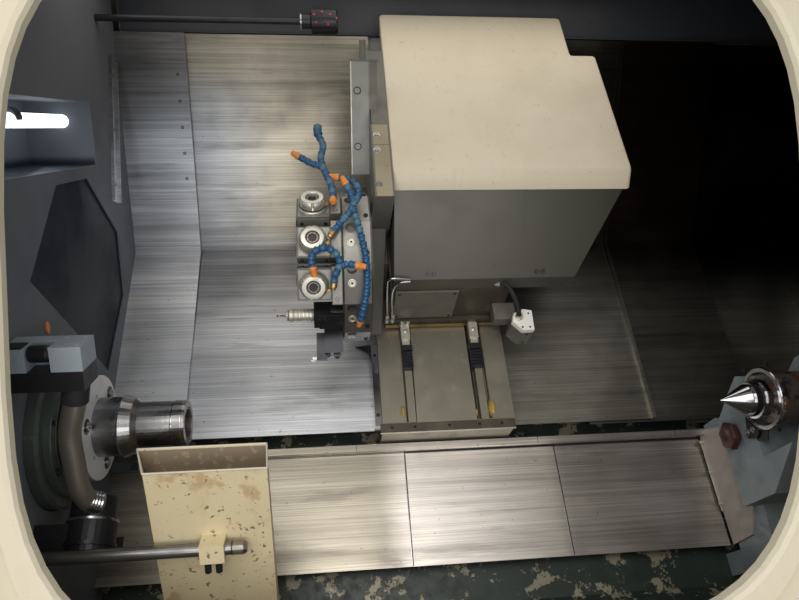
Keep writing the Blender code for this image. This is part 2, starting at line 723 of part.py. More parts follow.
def opening_ring(front):
    """The rim of the door opening: a flat face, a rounded inner edge and a short inner wall."""
    lead = 0.010
    edge_share = 0.35
    soft = lead * edge_share
    rows = ((0.0, 0.0, 0.0), (0.0, 0.0, -RING_DEPTH + lead), (soft, soft, -RING_DEPTH + soft),
            (lead, lead, -RING_DEPTH), (RING_SIDE, RING_END, -RING_DEPTH), (RING_SIDE, RING_END, 0.0))
    shape = bmesh.new()
    loops = []
    for side, end, depth in rows:
        loops.append([shape.verts.new((x, depth, z)) for x, z in opening_curve(side, end)])
    for first, second in zip(loops, loops[1:] + loops[:1]):
        for index in range(len(first)):
            after = (index + 1) % len(first)
            shape.faces.new((first[index], first[after], second[after], second[index]))
    return add_mesh("opening_ring", front, "cream_paint", shape, smooth=True)


def door(front):
    door_x = (-1.365, -0.025)
    door_y = (-0.068, -0.030)
    panel = slab("door_panel", front, "white_paint", door_x, door_y, DOOR_Z)
    window_x = (-1.13, -0.27)
    window_z = (0.10, 0.78)
    through = (door_y[0] - OVERRUN, door_y[1] + OVERRUN)
    cut(panel, slab("window_hole", front, "white_paint", window_x, through, window_z))
    glass_x = (window_x[0] + GAP, window_x[1] - GAP)
    glass_z = (window_z[0] + GAP, window_z[1] - GAP)
    glass_y = (-0.055, -0.043)
    slab("door_window", front, "window_glass", glass_x, glass_y, glass_z)
    grip_x = -0.12
    grip_out = -0.13
    grip_z = (0.25, 0.60)
    grip_radius = 0.012
    bend = 0.03
    root_depth = 0.004
    root = door_y[0] + root_depth
    route = [(root, grip_z[0]), (grip_out + bend, grip_z[0]), (grip_out, grip_z[0] + bend),
             (grip_out, grip_z[1] - bend), (grip_out + bend, grip_z[1]), (root, grip_z[1])]
    path = [Vector((grip_x, y, z)) for y, z in route]
    handle = tube("door_handle", front, "black_steel", path, (grip_radius,), 12)
    join(panel, handle)
    return panel


def operator_panel(spindle):
    pivot = PANEL_PIVOT
    sleeve = 0.034
    arm_half = 0.03
    reach_z = (0.16, 0.22)
    pad_half = 0.07
    pad_z = (0.10, 0.28)
    pad_sheet = 0.012
    arm_x = (pivot[0] - arm_half, pivot[0] + arm_half)
    arm_y = (pivot[1], front_line(reach_z[0]) - SHEET - pad_sheet / 2)
    arm = slab("panel_arm", spindle, "white_paint", arm_x, arm_y, reach_z)
    join(arm, along_z("panel_knuckle", spindle, "white_paint", circle(pivot, sleeve, 24), reach_z))
    pad_x = (pivot[0] - pad_half, pivot[0] + pad_half)
    far = [(front_line(z) - SHEET - GAP, z) for z in pad_z]
    near = [(y - pad_sheet, z) for y, z in reversed(far)]
    join(arm, along_x("panel_pad", spindle, "white_paint", far + near, pad_x))
    swivel = frame("panel_swivel", spindle, (pivot[0], pivot[1], 0))
    box_x = (-0.53, -0.06)
    box_y = (-PANEL_FRONT, 0.05)
    box_z = (-0.20, 0.46)
    edge = 0.012
    box = rounded(slab("control_panel", swivel, "white_paint", box_x, box_y, box_z), edge)
    tongue_x = (box_x[1] - OVERRUN, 0.0)
    tongue_half = 0.02
    tongue_y = (-tongue_half, tongue_half)
    height = 0.05
    tongues = ((reach_z[0] - height, reach_z[0] - GAP), (reach_z[1] + GAP, reach_z[1] + height))
    for tongue_z in tongues:
        join(box, slab("panel_tongue", swivel, "white_paint", tongue_x, tongue_y, tongue_z))
        join(box, along_z("panel_eye", swivel, "white_paint", circle((0, 0), sleeve, 24), tongue_z))
    screen_x = (-0.47, -0.12)
    screen_z = (0.14, 0.41)
    pocket = 0.006
    pocket_y = (box_y[0] - OVERRUN, box_y[0] + pocket)
    cut(box, slab("screen_pocket", swivel, "black_steel", screen_x, pocket_y, screen_z))
    button_place = (-0.11, -0.13)
    stem = 0.008
    stem_room = 0.001
    stem_end = 0.018
    hole_depth = 0.03
    cap_radius = 0.020
    cap_height = 0.016
    hole = circle(button_place, stem + stem_room, 20)
    cut(box, along_y("button_hole", swivel, "white_paint", hole, (box_y[0] - OVERRUN, box_y[0] + hole_depth)))
    cap_y = (box_y[0] - STOP_REACH, box_y[0] - STOP_REACH + cap_height)
    cap = circle(button_place, cap_radius, 24)
    button = along_y("stop_button", swivel, "stop_red", cap, cap_y, smooth=True)
    stem_y = (cap_y[0] + cap_height / 4, box_y[0] + stem_end)
    join(button, along_y("button_stem", swivel, "stop_red", circle(button_place, stem, 20), stem_y))


def chip_conveyor(spindle):
    wall = 0.006
    tank_x = (-0.02, CONVEYOR_END)
    tank_y = (-0.49, -0.02)
    tank_z = (BASE_TOP + GAP, -0.80)
    tank = slab("coolant_tank", spindle, "cream_paint", tank_x, tank_y, tank_z)
    hollow_x = (tank_x[0] + wall, tank_x[1] - wall)
    hollow_y = (tank_y[0] + wall, tank_y[1] - wall)
    hollow_z = (tank_z[0] + wall, tank_z[1] + OVERRUN)
    cut(tank, slab("tank_hollow", spindle, "cream_paint", hollow_x, hollow_y, hollow_z))
    trough_y = (-0.42, -0.16)
    low, high = -0.785, -0.62
    post_size = 0.06
    post_y = (-0.30, -0.20)
    post_z = (tank_z[0] + wall / 2, low - GAP)
    for x in (0.30, 1.50):
        join(tank, slab("tank_post", spindle, "cream_paint", (x, x + post_size), post_y, post_z))
    pump_x = (2.52, 2.66)
    pump_y = (-0.15, -0.05)
    pump_z = (tank_z[0] + wall / 2, -0.66)
    join(tank, slab("coolant_pump", spindle, "cream_paint", pump_x, pump_y, pump_z))
    out_x = 2.24
    rise_x = 2.60
    rise = 0.30
    end_x = 2.76
    cover_back = 0.05
    cover_rise = 0.03
    start_x = 0.0
    outline = [(start_x, low), (out_x, low), (rise_x, low + rise), (end_x, low + rise),
               (end_x, high + rise + cover_rise), (rise_x - cover_back, high + rise + cover_rise),
               (out_x - cover_back, high + cover_rise), (out_x - cover_back, high), (start_x, high)]
    trough = along_y("chip_conveyor", spindle, "cream_paint", outline, trough_y)
    mouth_wall = 0.04
    hollow_end = out_x - cover_back - mouth_wall
    hollow = [(start_x + wall, low + wall), (hollow_end, low + wall), (hollow_end, high + OVERRUN),
              (start_x + wall, high + OVERRUN)]
    inner_y = (trough_y[0] + wall, trough_y[1] - wall)
    cut(trough, along_y("trough_hollow", spindle, "cream_paint", hollow, inner_y))


# Carriage, cross slide and turret


def saddle(tilted):
    low_u, high_u = 0.045, 0.70
    skirt = 0.05
    belly = -0.37
    bed_room = 0.012
    foot = BED_FACE + bed_room
    outline = [(low_u, foot)]
    for first, last in WAY_U:
        outline += [(first - GAP, foot), (first - GAP, WAY_TOP + GAP), (last + GAP, WAY_TOP + GAP),
                    (last + GAP, foot), (last + skirt, foot), (last + skirt, belly)]
        if first == WAY_U[0][0]:
            next_first = WAY_U[1][0]
            outline += [(next_first - skirt, belly), (next_first - skirt, foot)]
    outline += [(high_u, belly), (high_u, SADDLE_TOP), (low_u, SADDLE_TOP)]
    body = along_x("saddle", tilted, "grey_casting", outline, SADDLE_X)
    margin = 0.02
    groove_depth = 0.020
    rail_rise = 0.0100
    rail_half = 0.010
    rail_root = groove_depth + OVERRUN / 10
    groove_u = (low_u + margin, high_u - margin)
    groove_n = (SADDLE_TOP - groove_depth, SADDLE_TOP + OVERRUN)
    rail_u = (groove_u[0] - rail_half / 2, groove_u[1])
    rail_n = (SADDLE_TOP - rail_root, SADDLE_TOP + rail_rise)
    for groove_x in GUIDE_X:
        cut(body, slab("guide_groove", tilted, "black_steel", groove_x, groove_u, groove_n))
        middle = sum(groove_x) / 2
        rail_x = (middle - rail_half, middle + rail_half)
        join(body, slab("guide_rail", tilted, "machined_steel", rail_x, rail_u, rail_n))
    return join(body, slide_guard(tilted))


def slide_guard(tilted):
    """The plate between the cross slide's guides, screwed down on the saddle; it flares downwards."""
    side_room = 0.0025
    flare = 0.005
    upper = (GUIDE_X[0][1] + side_room, GUIDE_X[1][0] - side_room)
    lower = (upper[0] - flare, upper[1] + flare / 2)
    guard_u = (0.050, 0.345)
    sheet = 0.006
    guard_n = (SADDLE_TOP - OVERRUN / 10, SADDLE_TOP + sheet)
    outline = [(lower[0], guard_u[0]), (lower[1], guard_u[0]), (upper[1], guard_u[1]), (upper[0], guard_u[1])]
    return along_z("slide_guard", tilted, "stainless", outline, guard_n)


def cross_slide(tilted):
    x = (CROSS_SLIDE_LEFT, 0.960)
    u = (CROSS_SLIDE_FRONT, 0.700)
    n = (SADDLE_TOP + SLIDE_ROOM, CROSS_TOP - GAP)
    body = slab("cross_slide", tilted, "grey_casting", x, u, n)
    strip_x = (0.640, 0.950)
    strip_u = (0.338, 0.355)
    strip_height = 0.035
    join(body, slab("wiper_strip", tilted, "machined_steel", strip_x, strip_u, (n[0], n[0] + strip_height)))
    return body


def turret_casting(tilted):
    """A head under the cover's level, a column with an upright front below it, and an upright side flange."""
    x = (0.600, 0.6455)
    head_u = (0.456, 0.955)
    top = 0.200
    waist = (0.488, 0.030)
    sole_u = 0.520
    head = [(head_u[0], top), (head_u[1], top), (head_u[1], head_u[1] - TURRET_REAR),
            (TURRET_REAR + CROSS_TOP, CROSS_TOP), (sole_u, CROSS_TOP), waist]
    body = along_x("turret_casting", tilted, "grey_casting", head, x)

    toe = (0.318, SADDLE_TOP + SLIDE_ROOM)
    heel_u = 0.520
    inset = 0.001
    rows = (((0.5885, 0.628), toe, heel_u), ((0.5925, 0.636), waist, heel_u + inset),
            ((x[0] + inset, x[1] - inset), (head_u[0] + inset, top - inset), heel_u + inset))
    column = [[(left, u, n), (right, u, n), (right, far, n), (left, far, n)]
              for (left, right), (u, n), far in rows]
    join(body, lofted("casting_column", tilted, "grey_casting", column))

    flange_x = (0.5535, x[0] + OVERRUN)
    flange_y = (0.378, 0.408)
    flange_z = (0.500, 0.775)
    flange_outline = [((y + z) * ROOT_HALF, (z - y) * ROOT_HALF) for y, z in
                      ((flange_y[0], flange_z[0]), (flange_y[1], flange_z[0]), (flange_y[1], flange_z[1]),
                       (flange_y[0], flange_z[1]))]
    flange = along_x("casting_flange", tilted, "grey_casting", flange_outline, flange_x)
    swing = circle((TURRET_U, 0), SWING_RADIUS, SWING_SIDES)
    swing_x = (flange_x[0] - OVERRUN, x[0] - OVERRUN / 2)
    cut(flange, along_x("flange_swing", tilted, "grey_casting", swing, swing_x))
    join(body, flange)
    web_x = (0.620, CROSS_SLIDE_LEFT - GAP)
    web_u = (0.440, 0.500)
    web_n = (SADDLE_TOP + OVERRUN, CROSS_TOP - OVERRUN / 2)
    join(body, slab("casting_web", tilted, "grey_casting", web_x, web_u, web_n))
    boss_radius = 0.075
    boss_end = 0.5955
    boss = circle((TURRET_U, 0), boss_radius, 32)
    join(body, along_x("turret_boss", tilted, "grey_casting", boss, (DISC_X[1] + GAP, boss_end)))
    return body


def turret_housing(spindle, tilted):
    """The drive housing behind the cover; its front stands upright and its right side leans in below."""
    x = (HOUSING_LEFT + COVER_ROOM, HOUSING_RIGHT - COVER_ROOM)
    front = 0.3422
    top = 0.194
    brow = 0.0054
    chin = 0.0094
    outline = [(front + brow, brow), (front + top, top), (TURRET_REAR + top, top),
               (TURRET_REAR + CROSS_TOP, CROSS_TOP), (front + chin, CROSS_TOP)]
    body = along_x("turret_housing", tilted, "cream_paint", outline, x)
    lean_low = (1.1145, 0.2496)
    lean_high = (x[1], 0.500)
    lean = (lean_high[0] - lean_low[0]) / (lean_high[1] - lean_low[1])
    base_z = 0.10
    outside = x[1] + OVERRUN * 5
    wedge = [(lean_low[0] - lean * (lean_low[1] - base_z), base_z), (outside, base_z),
             (outside, lean_high[1] + GAP), lean_high]
    reach = (0.0, 0.90)
    cut(body, along_y("housing_wedge", spindle, "cream_paint", wedge, reach))
    notch_y = (HOUSING_SHOULDER * ROOT_HALF, 1.0)
    notch_z = (0.0, 1.3)
    notch_x = (HOUSING_NOTCH, x[1] + OVERRUN)
    cut(body, slab("housing_notch", spindle, "cream_paint", notch_x, notch_y, notch_z))
    return body


def turret_cover(tilted):
    """A lid that drops over the housing; its skirt hangs upright all round."""
    face = 0.200
    skirt = 0.0354
    sheet = 0.003
    left, right, notch = HOUSING_LEFT, HOUSING_RIGHT, HOUSING_NOTCH + COVER_ROOM
    front, shoulder, rear = 0.537, HOUSING_SHOULDER + face + COVER_ROOM, 1.110

    def lid(inset, depths):
        west, east, inner = left + inset, right - inset, notch - inset
        south, middle, north = front + inset, shoulder - inset, rear - inset
        plan = [(west, south), (east, south), (east, middle), (inner, middle), (inner, north), (west, north)]
        return [[(x, u - depth, face - depth) for x, u in plan] for depth in depths]

    cover = lofted("turret_cover", tilted, "cream_paint", lid(0, (0, skirt)))
    return cut(cover, lofted("cover_hollow", tilted, "cream_paint", lid(sheet, (sheet, skirt + OVERRUN))))


def turret_disc(turret):
    """A twelve-sided disc with a round tool bore beside the middle of each flat."""
    corner = DISC_APOTHEM / math.cos(STATION_PITCH / 2)
    start = -STATION_PITCH / 2 + math.radians(-15)
    x0, x1 = DISC_X
    chamfer = 0.004
    hub_height = 0.006
    hub_radius = 0.070
    profile = [(x0 - hub_height, 0), (x0 - hub_height, hub_radius), (x0, hub_radius + hub_height),
               (x0, corner - chamfer), (x0 + chamfer, corner), (x1 - chamfer, corner), (x1, corner - chamfer),
               (x1, 0)]
    disc = turned("turret_disc", turret, "grey_casting", profile, STATIONS, start=start)
    bore_radius = 0.0125
    bore_inset = 0.0215
    bore_x = x0 + bore_inset
    bore_shift = 0.034
    depth = 0.022
    sides = 12
    bore = (DISC_APOTHEM - depth, DISC_APOTHEM + OVERRUN)
    shape = bmesh.new()
    for index in range(STATIONS):
        turn = Matrix.Rotation(math.radians(15) + index * STATION_PITCH, 4, "X")
        rings = [[shape.verts.new(turn @ Vector((bore_x + a, bore_shift + b, r)))
                  for a, b in circle((0, 0), bore_radius, sides)] for r in bore]
        for side in range(sides):
            after = (side + 1) % sides
            shape.faces.new((rings[0][side], rings[0][after], rings[1][after], rings[1][side]))
        shape.faces.new(rings[0])
        shape.faces.new(rings[1])
    cut(disc, add_mesh("tool_bores", turret, "grey_casting", shape))
    return disc


def station_frame(turret, degrees):
    """A frame at the turret's axis whose Z points out through a station, in degrees from upright."""
    return frame("station", turret, (0, 0, 0), (math.radians(-degrees), 0, 0))


def driven_head(number, station):
    """A driven tool head on the disc's face, and its collet nut, which turns about the radial line."""
    face = DISC_X[0] - GAP
    flange_sheet = 0.024
    waist = 0.021
    root = 0.090
    flange_half = 0.044
    flange_z = (0.176, 0.200)
    flange = [(-waist, root), (waist, root), (flange_half, flange_z[0]), (flange_half, flange_z[1]),
              (-flange_half, flange_z[1]), (-flange_half, flange_z[0])]
    body = along_x(f"driven_head_{number}", station, "machined_steel", flange, (face - flange_sheet, face))
    block_half = 0.036
    block_z = (0.150, 0.184)
    block_root = root + OVERRUN / 10
    block_x = (0.418, face - flange_sheet * 5 / 6)
    block = [(-waist, block_root), (waist, block_root), (block_half, block_z[0]), (block_half, block_z[1]),
             (-block_half, block_z[1]), (-block_half, block_z[0])]
    join(body, along_x("head_block", station, "black_steel", block, block_x))
    middle_x = 0.455
    neck_radius = 0.031
    neck = (0.180, 0.196)
    join(body, along_z("head_neck", station, "machined_steel", circle((middle_x, 0), neck_radius, 24), neck))
    spin = frame(f"collet_axis_{number}", station, (middle_x, 0, neck[1] + GAP), (0, math.radians(-90), 0))
    height = 0.019
    nut_radius = 0.030
    chamfer = 0.004
    straight = 0.013
    mouth = (0.014, 0.012)
    floor = 0.006
    nut = [(0, 0), (0, nut_radius), (straight, nut_radius), (height, nut_radius - chamfer),
           (height, mouth[0]), (floor, mouth[1]), (floor, 0)]
    turned(f"collet_nut_{number}", spin, "machined_steel", nut, 24)


def touch_probe(station):
    face = DISC_X[0] - GAP
    block_x = (0.452, face)
    half = 0.020
    block_z = (0.142, 0.188)
    axis_z = 0.165
    body = slab("touch_probe", station, "black_steel", block_x, (-half, half), block_z)
    root_x, ring_x, tip_x, stylus_x, ball_x = 0.455, (0.412, 0.410, 0.397), 0.390, 0.372, 0.366
    barrel_radius, groove_radius, ring_radius, tip_radius = 0.0135, 0.0125, 0.0145, 0.0105
    stylus_radius, ball_radius = 0.0020, 0.0012
    barrel = [(root_x, 0), (root_x, barrel_radius), (ring_x[0], barrel_radius), (ring_x[1], groove_radius),
              (ring_x[2], ring_radius), (tip_x, tip_radius), (tip_x, stylus_radius), (stylus_x, ball_radius),
              (ball_x, 0)]
    join(body, turned("probe_barrel", station, "machined_steel", barrel, 20, (0, axis_z)))
    return body


def tool_block(station):
    face = DISC_X[0] - GAP
    x = (0.474, face)
    half = 0.022
    z = (0.150, 0.222)
    body = slab("tool_block", station, "black_steel", x, (-half, half), z)
    shank_x = (0.455, 0.480)
    shank_half = 0.010
    shank_z = (0.170, 0.236)
    join(body, slab("tool_shank", station, "machined_steel", shank_x, (-shank_half, shank_half), shank_z))
    return body


def coolant_hose(name, turret, routes):
    """Ball segments threaded on smooth routes, given from the turret's axis on the slope."""
    segment = 0.0165
    bead, waist = 0.0085, 0.0062
    made = None
    for index, route in enumerate(routes):
        points = [(x, u - TURRET_U, n) for x, u, n in route]
        path = smooth_path(points, segment / 2)
        part = tube(name if index == 0 else name + "_branch", turret, "blue_plastic", path, (bead, waist), 8)
        if made is None:
            made = part
        else:
            join(made, part)
    return made


def coolant_hoses(turret):
    coolant_hose("branch_hose", turret, [
        [(0.502, 0.440, 0.212), (0.501, 0.475, 0.205), (0.492, 0.513, 0.200), (0.480, 0.547, 0.200),
         (0.476, 0.577, 0.200), (0.483, 0.613, 0.200), (0.470, 0.649, 0.200), (0.470, 0.676, 0.200)],
        [(0.482, 0.545, 0.200), (0.457, 0.555, 0.200), (0.439, 0.567, 0.200), (0.426, 0.577, 0.200)]])
    coolant_hose("long_hose", turret, [
        [(0.500, 0.350, 0.207), (0.520, 0.374, 0.216), (0.538, 0.396, 0.218), (0.550, 0.428, 0.212),
         (0.562, 0.460, 0.205), (0.556, 0.493, 0.200), (0.538, 0.508, 0.200), (0.516, 0.513, 0.200)],
        [(0.546, 0.410, 0.216), (0.558, 0.356, 0.212), (0.569, 0.315, 0.185), (0.573, 0.275, 0.163),
         (0.571, 0.238, 0.138), (0.564, 0.212, 0.105), (0.558, 0.205, 0.066)],
        [(0.549, 0.425, 0.213), (0.543, 0.455, 0.212), (0.533, 0.479, 0.215)]])
    coolant_hose("loop_hose", turret, [
        [(0.499, 0.246, 0.160), (0.503, 0.262, 0.178), (0.515, 0.274, 0.192), (0.506, 0.291, 0.212),
         (0.483, 0.297, 0.226), (0.461, 0.290, 0.226), (0.452, 0.274, 0.218), (0.455, 0.262, 0.204)],
        [(0.513, 0.272, 0.190), (0.530, 0.277, 0.192), (0.548, 0.274, 0.190)]])


def junction_box(tilted):
    x = (0.9602, 1.030)
    u = (0.245, 0.330)
    n = (-0.175, -0.090)
    edge = 0.008
    box = rounded(slab("junction_box", tilted, "white_paint", x, u, n), edge)
    foot_x = (0.925, 0.985)
    foot_u = (u[1] - edge, CROSS_SLIDE_FRONT - GAP)
    foot_n = (-0.160, -0.125)
    return join(box, slab("box_foot", tilted, "white_paint", foot_x, foot_u, foot_n))


# Tailstock


def tailstock(spindle, tilted):
    foot_n = BED_FACE + GAP
    foot_u = (-0.340, -0.285)
    belly_n = -0.345
    ridge_u = (0.018, 0.048)
    ridge_n = RIDGE_TOP + GAP
    shoulder_n = -0.270
    crown = (0.0, -0.164)
    toe_u, toe_n = -0.30, -0.20
    shin_n = -0.26
    lower = [(foot_u[0], foot_n), (foot_u[1], foot_n), (foot_u[1], belly_n), (ridge_u[0], belly_n),
             (ridge_u[0], ridge_n), (ridge_u[1], ridge_n), (ridge_u[1], shoulder_n), crown, (toe_u, toe_n),
             (foot_u[0], shin_n)]
    base_x = (1.540, 1.930)
    body = along_x("tailstock_casting", tilted, "grey_casting", lower, base_x)
    side = 0.110
    corner = 0.050
    base = -0.204
    hip = (0.010, 0.060)
    hip_n = -0.120
    chest_n = -0.020
    brow_u, cheek_n = -0.076, -0.073
    upper = [(base, base), (hip[0], base), (hip[1], hip_n), (side, chest_n), (side, side - corner),
             (side - corner, side), (brow_u, side), (base, cheek_n)]
    body_x = (1.500, base_x[1])
    join(body, along_x("tailstock_body", tilted, "grey_casting", upper, body_x))
    relief_room = 0.006
    clear = QUILL_RADIUS + relief_room
    relief_u = (-0.12, 0.16)
    relief_top = 0.16
    relief_end = 1.640
    relief_x = (body_x[0] - OVERRUN, relief_end)
    cut(body, slab("quill_relief", tilted, "grey_casting", relief_x, relief_u, (-clear, relief_top)))
    bore = circle((0, 0), QUILL_RADIUS + GAP, 40)
    bore_x = (body_x[0] - OVERRUN, body_x[1] + OVERRUN)
    cut(body, along_x("quill_bore", spindle, "grey_casting", bore, bore_x))
    return body


def scraper_plate(tilted):
    x = (1.5335, 1.5397)
    low_n = FRONT_COVER_FACE + 2 * GAP
    ridge_u = (0.0215, 0.036)
    ridge_n = RIDGE_TOP + GAP
    crown = (0.010, -0.210)
    brow = (-0.190, -0.215)
    cheek = -0.262
    toe_u = -0.270
    outline = [(toe_u, low_n), (ridge_u[0], low_n), (ridge_u[0], ridge_n), (ridge_u[1], ridge_n), crown, brow,
               (cheek, cheek)]
    return along_x("scraper_plate", tilted, "stainless", outline, x)


def quill_group(spindle):
    quill_x = (1.510, 1.880)
    lead = 0.006
    quill = [(quill_x[0], 0), (quill_x[0], QUILL_RADIUS - lead), (quill_x[0] + lead, QUILL_RADIUS),
             (quill_x[1], QUILL_RADIUS), (quill_x[1], 0)]
    turned("quill", spindle, "machined_steel", quill, 40)
    tip_x, cone_x = 1.395, 1.4565
    tip_radius, tip_length = 0.0012, 0.002
    cone_radius = 0.0350
    neck_x = 1.462
    body_radius = 0.040
    ring_x, ring_radius, ring_lead = (1.476, 1.496), 0.046, 0.002
    end_x = quill_x[0] - GAP
    centre = [(tip_x, 0), (tip_x + tip_length, tip_radius), (cone_x, cone_radius), (neck_x, cone_radius),
              (neck_x, body_radius), (ring_x[0] - ring_lead, body_radius), (ring_x[0], ring_radius),
              (ring_x[1], ring_radius), (ring_x[1] + ring_lead, body_radius), (end_x, body_radius),
              (end_x, 0)]
    turned("live_centre", spindle, "polished_steel", centre, 32)


# Catcher, setter and receiver


def catcher(axis):
    """The bar turns in the wall; the chute is clamped to it."""
    bar_x = (-0.16, 0.325)
    bar_lead = 0.003
    bar = [(bar_x[0], 0), (bar_x[0], CATCHER_RADIUS), (bar_x[1] - 2 * bar_lead, CATCHER_RADIUS),
           (bar_x[1], CATCHER_RADIUS - bar_lead), (bar_x[1], 0)]
    turned("catcher_bar", axis, "black_steel", bar, 24)
    top_y, top_z = -0.005, 0.1645
    low_y, low_z = 0.051, -0.188
    back_shift = (0.073, 0.0115)
    low_shift = (0.030, 0.010)
    sheet = 0.002
    left, right = 0.1514, 0.3699
    flare = (0.027, 0.0067)
    over_share = 0.05

    def ring(inset):
        front_l, front_r = left + inset, right - inset
        back_l, back_r = left - flare[0] + inset, right - flare[1] - inset
        back_y = top_y + back_shift[0] - inset
        back_z = top_z + back_shift[1]
        top = [(front_l, top_y + inset, top_z), (front_r, top_y + inset, top_z), (back_r, back_y, back_z),
               (back_l, back_y, back_z)]
        heel_y = low_y + low_shift[0] - inset
        heel_z = low_z + low_shift[1] + inset
        low = [(front_l, low_y + inset, low_z + inset), (front_r, low_y + inset, low_z + inset),
               (front_r, heel_y, heel_z), (front_l, heel_y, heel_z)]
        return top, low

    outer_top, outer_low = ring(0)
    chute = lofted("catcher_chute", axis, "cream_paint", [outer_top, outer_low])
    inner_top, inner_low = ring(sheet)
    lean = Vector(inner_top[0]) - Vector(inner_low[0])
    above = [tuple(Vector(point) + lean * over_share) for point in inner_top]
    cut(chute, lofted("chute_hollow", axis, "cream_paint", [above, inner_low]))
    clamp_x = (0.2405, 0.2850)
    jaw = 0.019
    grip_low, grip_high = 0.0285, 0.0220
    grip = [(-jaw, -jaw), (grip_low, -jaw), (grip_high, jaw), (-jaw, jaw)]
    join(chute, along_x("chute_clamp", axis, "cream_paint", grip, clamp_x))
    bore = circle((0, 0), CATCHER_RADIUS + GAP, 24)
    cut(chute, along_x("clamp_bore", axis, "cream_paint", bore, (clamp_x[0] - OVERRUN, clamp_x[1] + OVERRUN)))


def tool_setter(spindle, setter):
    """A fixed pivot on the wall and an arm that turns about the line up the slope."""
    radius = 0.048
    low, high = -0.062, 0.002
    wall_x = (WALL_FACE + GAP - SETTER_PLACE[0], 0.0)
    bracket_y = (-0.058, -0.008)
    bracket_half = 0.036
    base = lofted("setter_base", setter, "black_steel",
                  [[(a, y, b) for a, b in circle((0, 0), radius, 28)] for y in (low, high)], smooth=True)
    bracket_z = (-bracket_half, bracket_half)
    join(base, slab("setter_bracket", setter, "black_steel", wall_x, bracket_y, bracket_z))
    cap_height = 0.048
    cap_inset = 0.004
    cap = (high + GAP, high + cap_height)
    arm = lofted("setter_arm", setter, "black_steel",
                 [[(a, y, b) for a, b in circle((0, 0), radius - cap_inset, 28)] for y in cap], smooth=True)
    to_setter = setter.matrix_world.inverted() @ spindle.matrix_world
    pipe_y = -0.1662
    route = [(0.0341, -0.1436, -0.0971), (0.0167, -0.1549, -0.0810), (0.0079, pipe_y, -0.0454),
             (0.0037, pipe_y, 0.0133), (0.0037, pipe_y, 0.0659), (0.0171, pipe_y, 0.1174),
             (0.0285, pipe_y, 0.1668)]
    pipe_radius = 0.0205
    step = 0.02
    path = smooth_path([to_setter @ Vector(point) for point in route], step)
    join(arm, tube("setter_pipe", setter, "stainless", path, (pipe_radius,), 16))
    head_x = (-0.0797, 0.0552)
    head_y = (-0.202, -0.130)
    head_z = (0.1627, 0.2471)
    join(arm, slab("setter_head_form", spindle, "black_steel", head_x, head_y, head_z))
    recess_x = (-0.0560, 0.0007)
    recess_z = (0.1771, 0.2358)
    recess_y = (head_y[0] - OVERRUN, -0.160)
    cut(arm, slab("setter_recess", spindle, "black_steel", recess_x, recess_y, recess_z))
    return base


def signal_receiver(spindle):
    """A rod on the wall that carries a ribbed round receiver."""
    y, z = 0.520, 0.8844
    rod = 0.0085
    neck = 0.019
    body = 0.0325
    rim = 0.027
    stop = 0.4305
    socket = 0.456
    end = 0.528
    lead = 0.005
    profile = [(WALL_FACE + GAP, 0), (WALL_FACE + GAP, rod), (stop, rod), (stop, neck), (socket, neck),
               (socket + lead, body), (end - lead, body), (end, rim), (end, 0)]
    return turned("signal_receiver", spindle, "black_steel", profile, 28, (y, z))


def build():
    clear_scene()
    middle_x = (CASING_LEFT + CONVEYOR_END) / 2
    middle_y = (front_reach() + CASING_REAR) / 2
    spindle = frame("spindle_frame", None, (-middle_x, -middle_y, SPINDLE_HEIGHT))
    tilted = frame("slope_frame", spindle, (0, 0, 0), (BED_SLANT, 0, 0))
    front = frame("front_frame", spindle, (0, FRONT_PLANE, 0), (-FRONT_TILT, 0, 0))
    turret = frame("turret_axis", tilted, (0, TURRET_U, 0))
    catcher_axis = frame("catcher_axis", spindle, (0, CATCHER_Y, CATCHER_Z))
    setter = frame("setter_axis", tilted, SETTER_PLACE)
    bpy.context.view_layer.update()

    machine_base(spindle)
    slant_bed(spindle, tilted)
    headstock_casting(spindle, tilted)
    spindle_bearing("front_bearing", spindle, FRONT_BEARING_X)
    spindle_bearing("rear_bearing", spindle, REAR_BEARING_X)
    spindle_group(spindle)
    drive_group(spindle)
    splash_wall(spindle, tilted)
    work_lamp(spindle)
    side_cover(spindle)
    front_covers(tilted)
    end_cover(spindle, tilted)
    casing(spindle, front)
    opening_ring(front)
    door(front)
    operator_panel(spindle)
    chip_conveyor(spindle)

    saddle(tilted)
    left_x = (LEFT_COVER_START, SADDLE_X[0] - GAP)
    right_x = (SADDLE_X[1] + GAP, RIGHT_COVER_END)
    middle_face = COVER_FACE - MIDDLE_COVER_DROP
    folded_cover("left_cover", spindle, "stainless", left_x, COVER_FACE, COVER_LOW)
    folded_cover("right_cover", spindle, "stainless", right_x, COVER_FACE, COVER_LOW, COVER_LIP)
    folded_cover("middle_cover", spindle, "stainless", MIDDLE_COVER_X, middle_face, COVER_LOW - COVER_ROOM)
    cross_slide(tilted)
    turret_casting(tilted)
    turret_housing(spindle, tilted)
    turret_cover(tilted)
    junction_box(tilted)
    turret_disc(turret)
    for number, degrees in enumerate((15, -15, -45), start=1):
        driven_head(number, station_frame(turret, degrees))
    touch_probe(station_frame(turret, -75))
    tool_block(station_frame(turret, -105))
    coolant_hoses(turret)

    tailstock(spindle, tilted)
    scraper_plate(tilted)
    quill_group(spindle)
    catcher(catcher_axis)
    tool_setter(spindle, setter)
    signal_receiver(spindle)


def front_reach():
    """The foremost point of the machine, at the stop button of the swivelling operator panel."""
    return PANEL_PIVOT[1] - PANEL_FRONT - STOP_REACH


build()
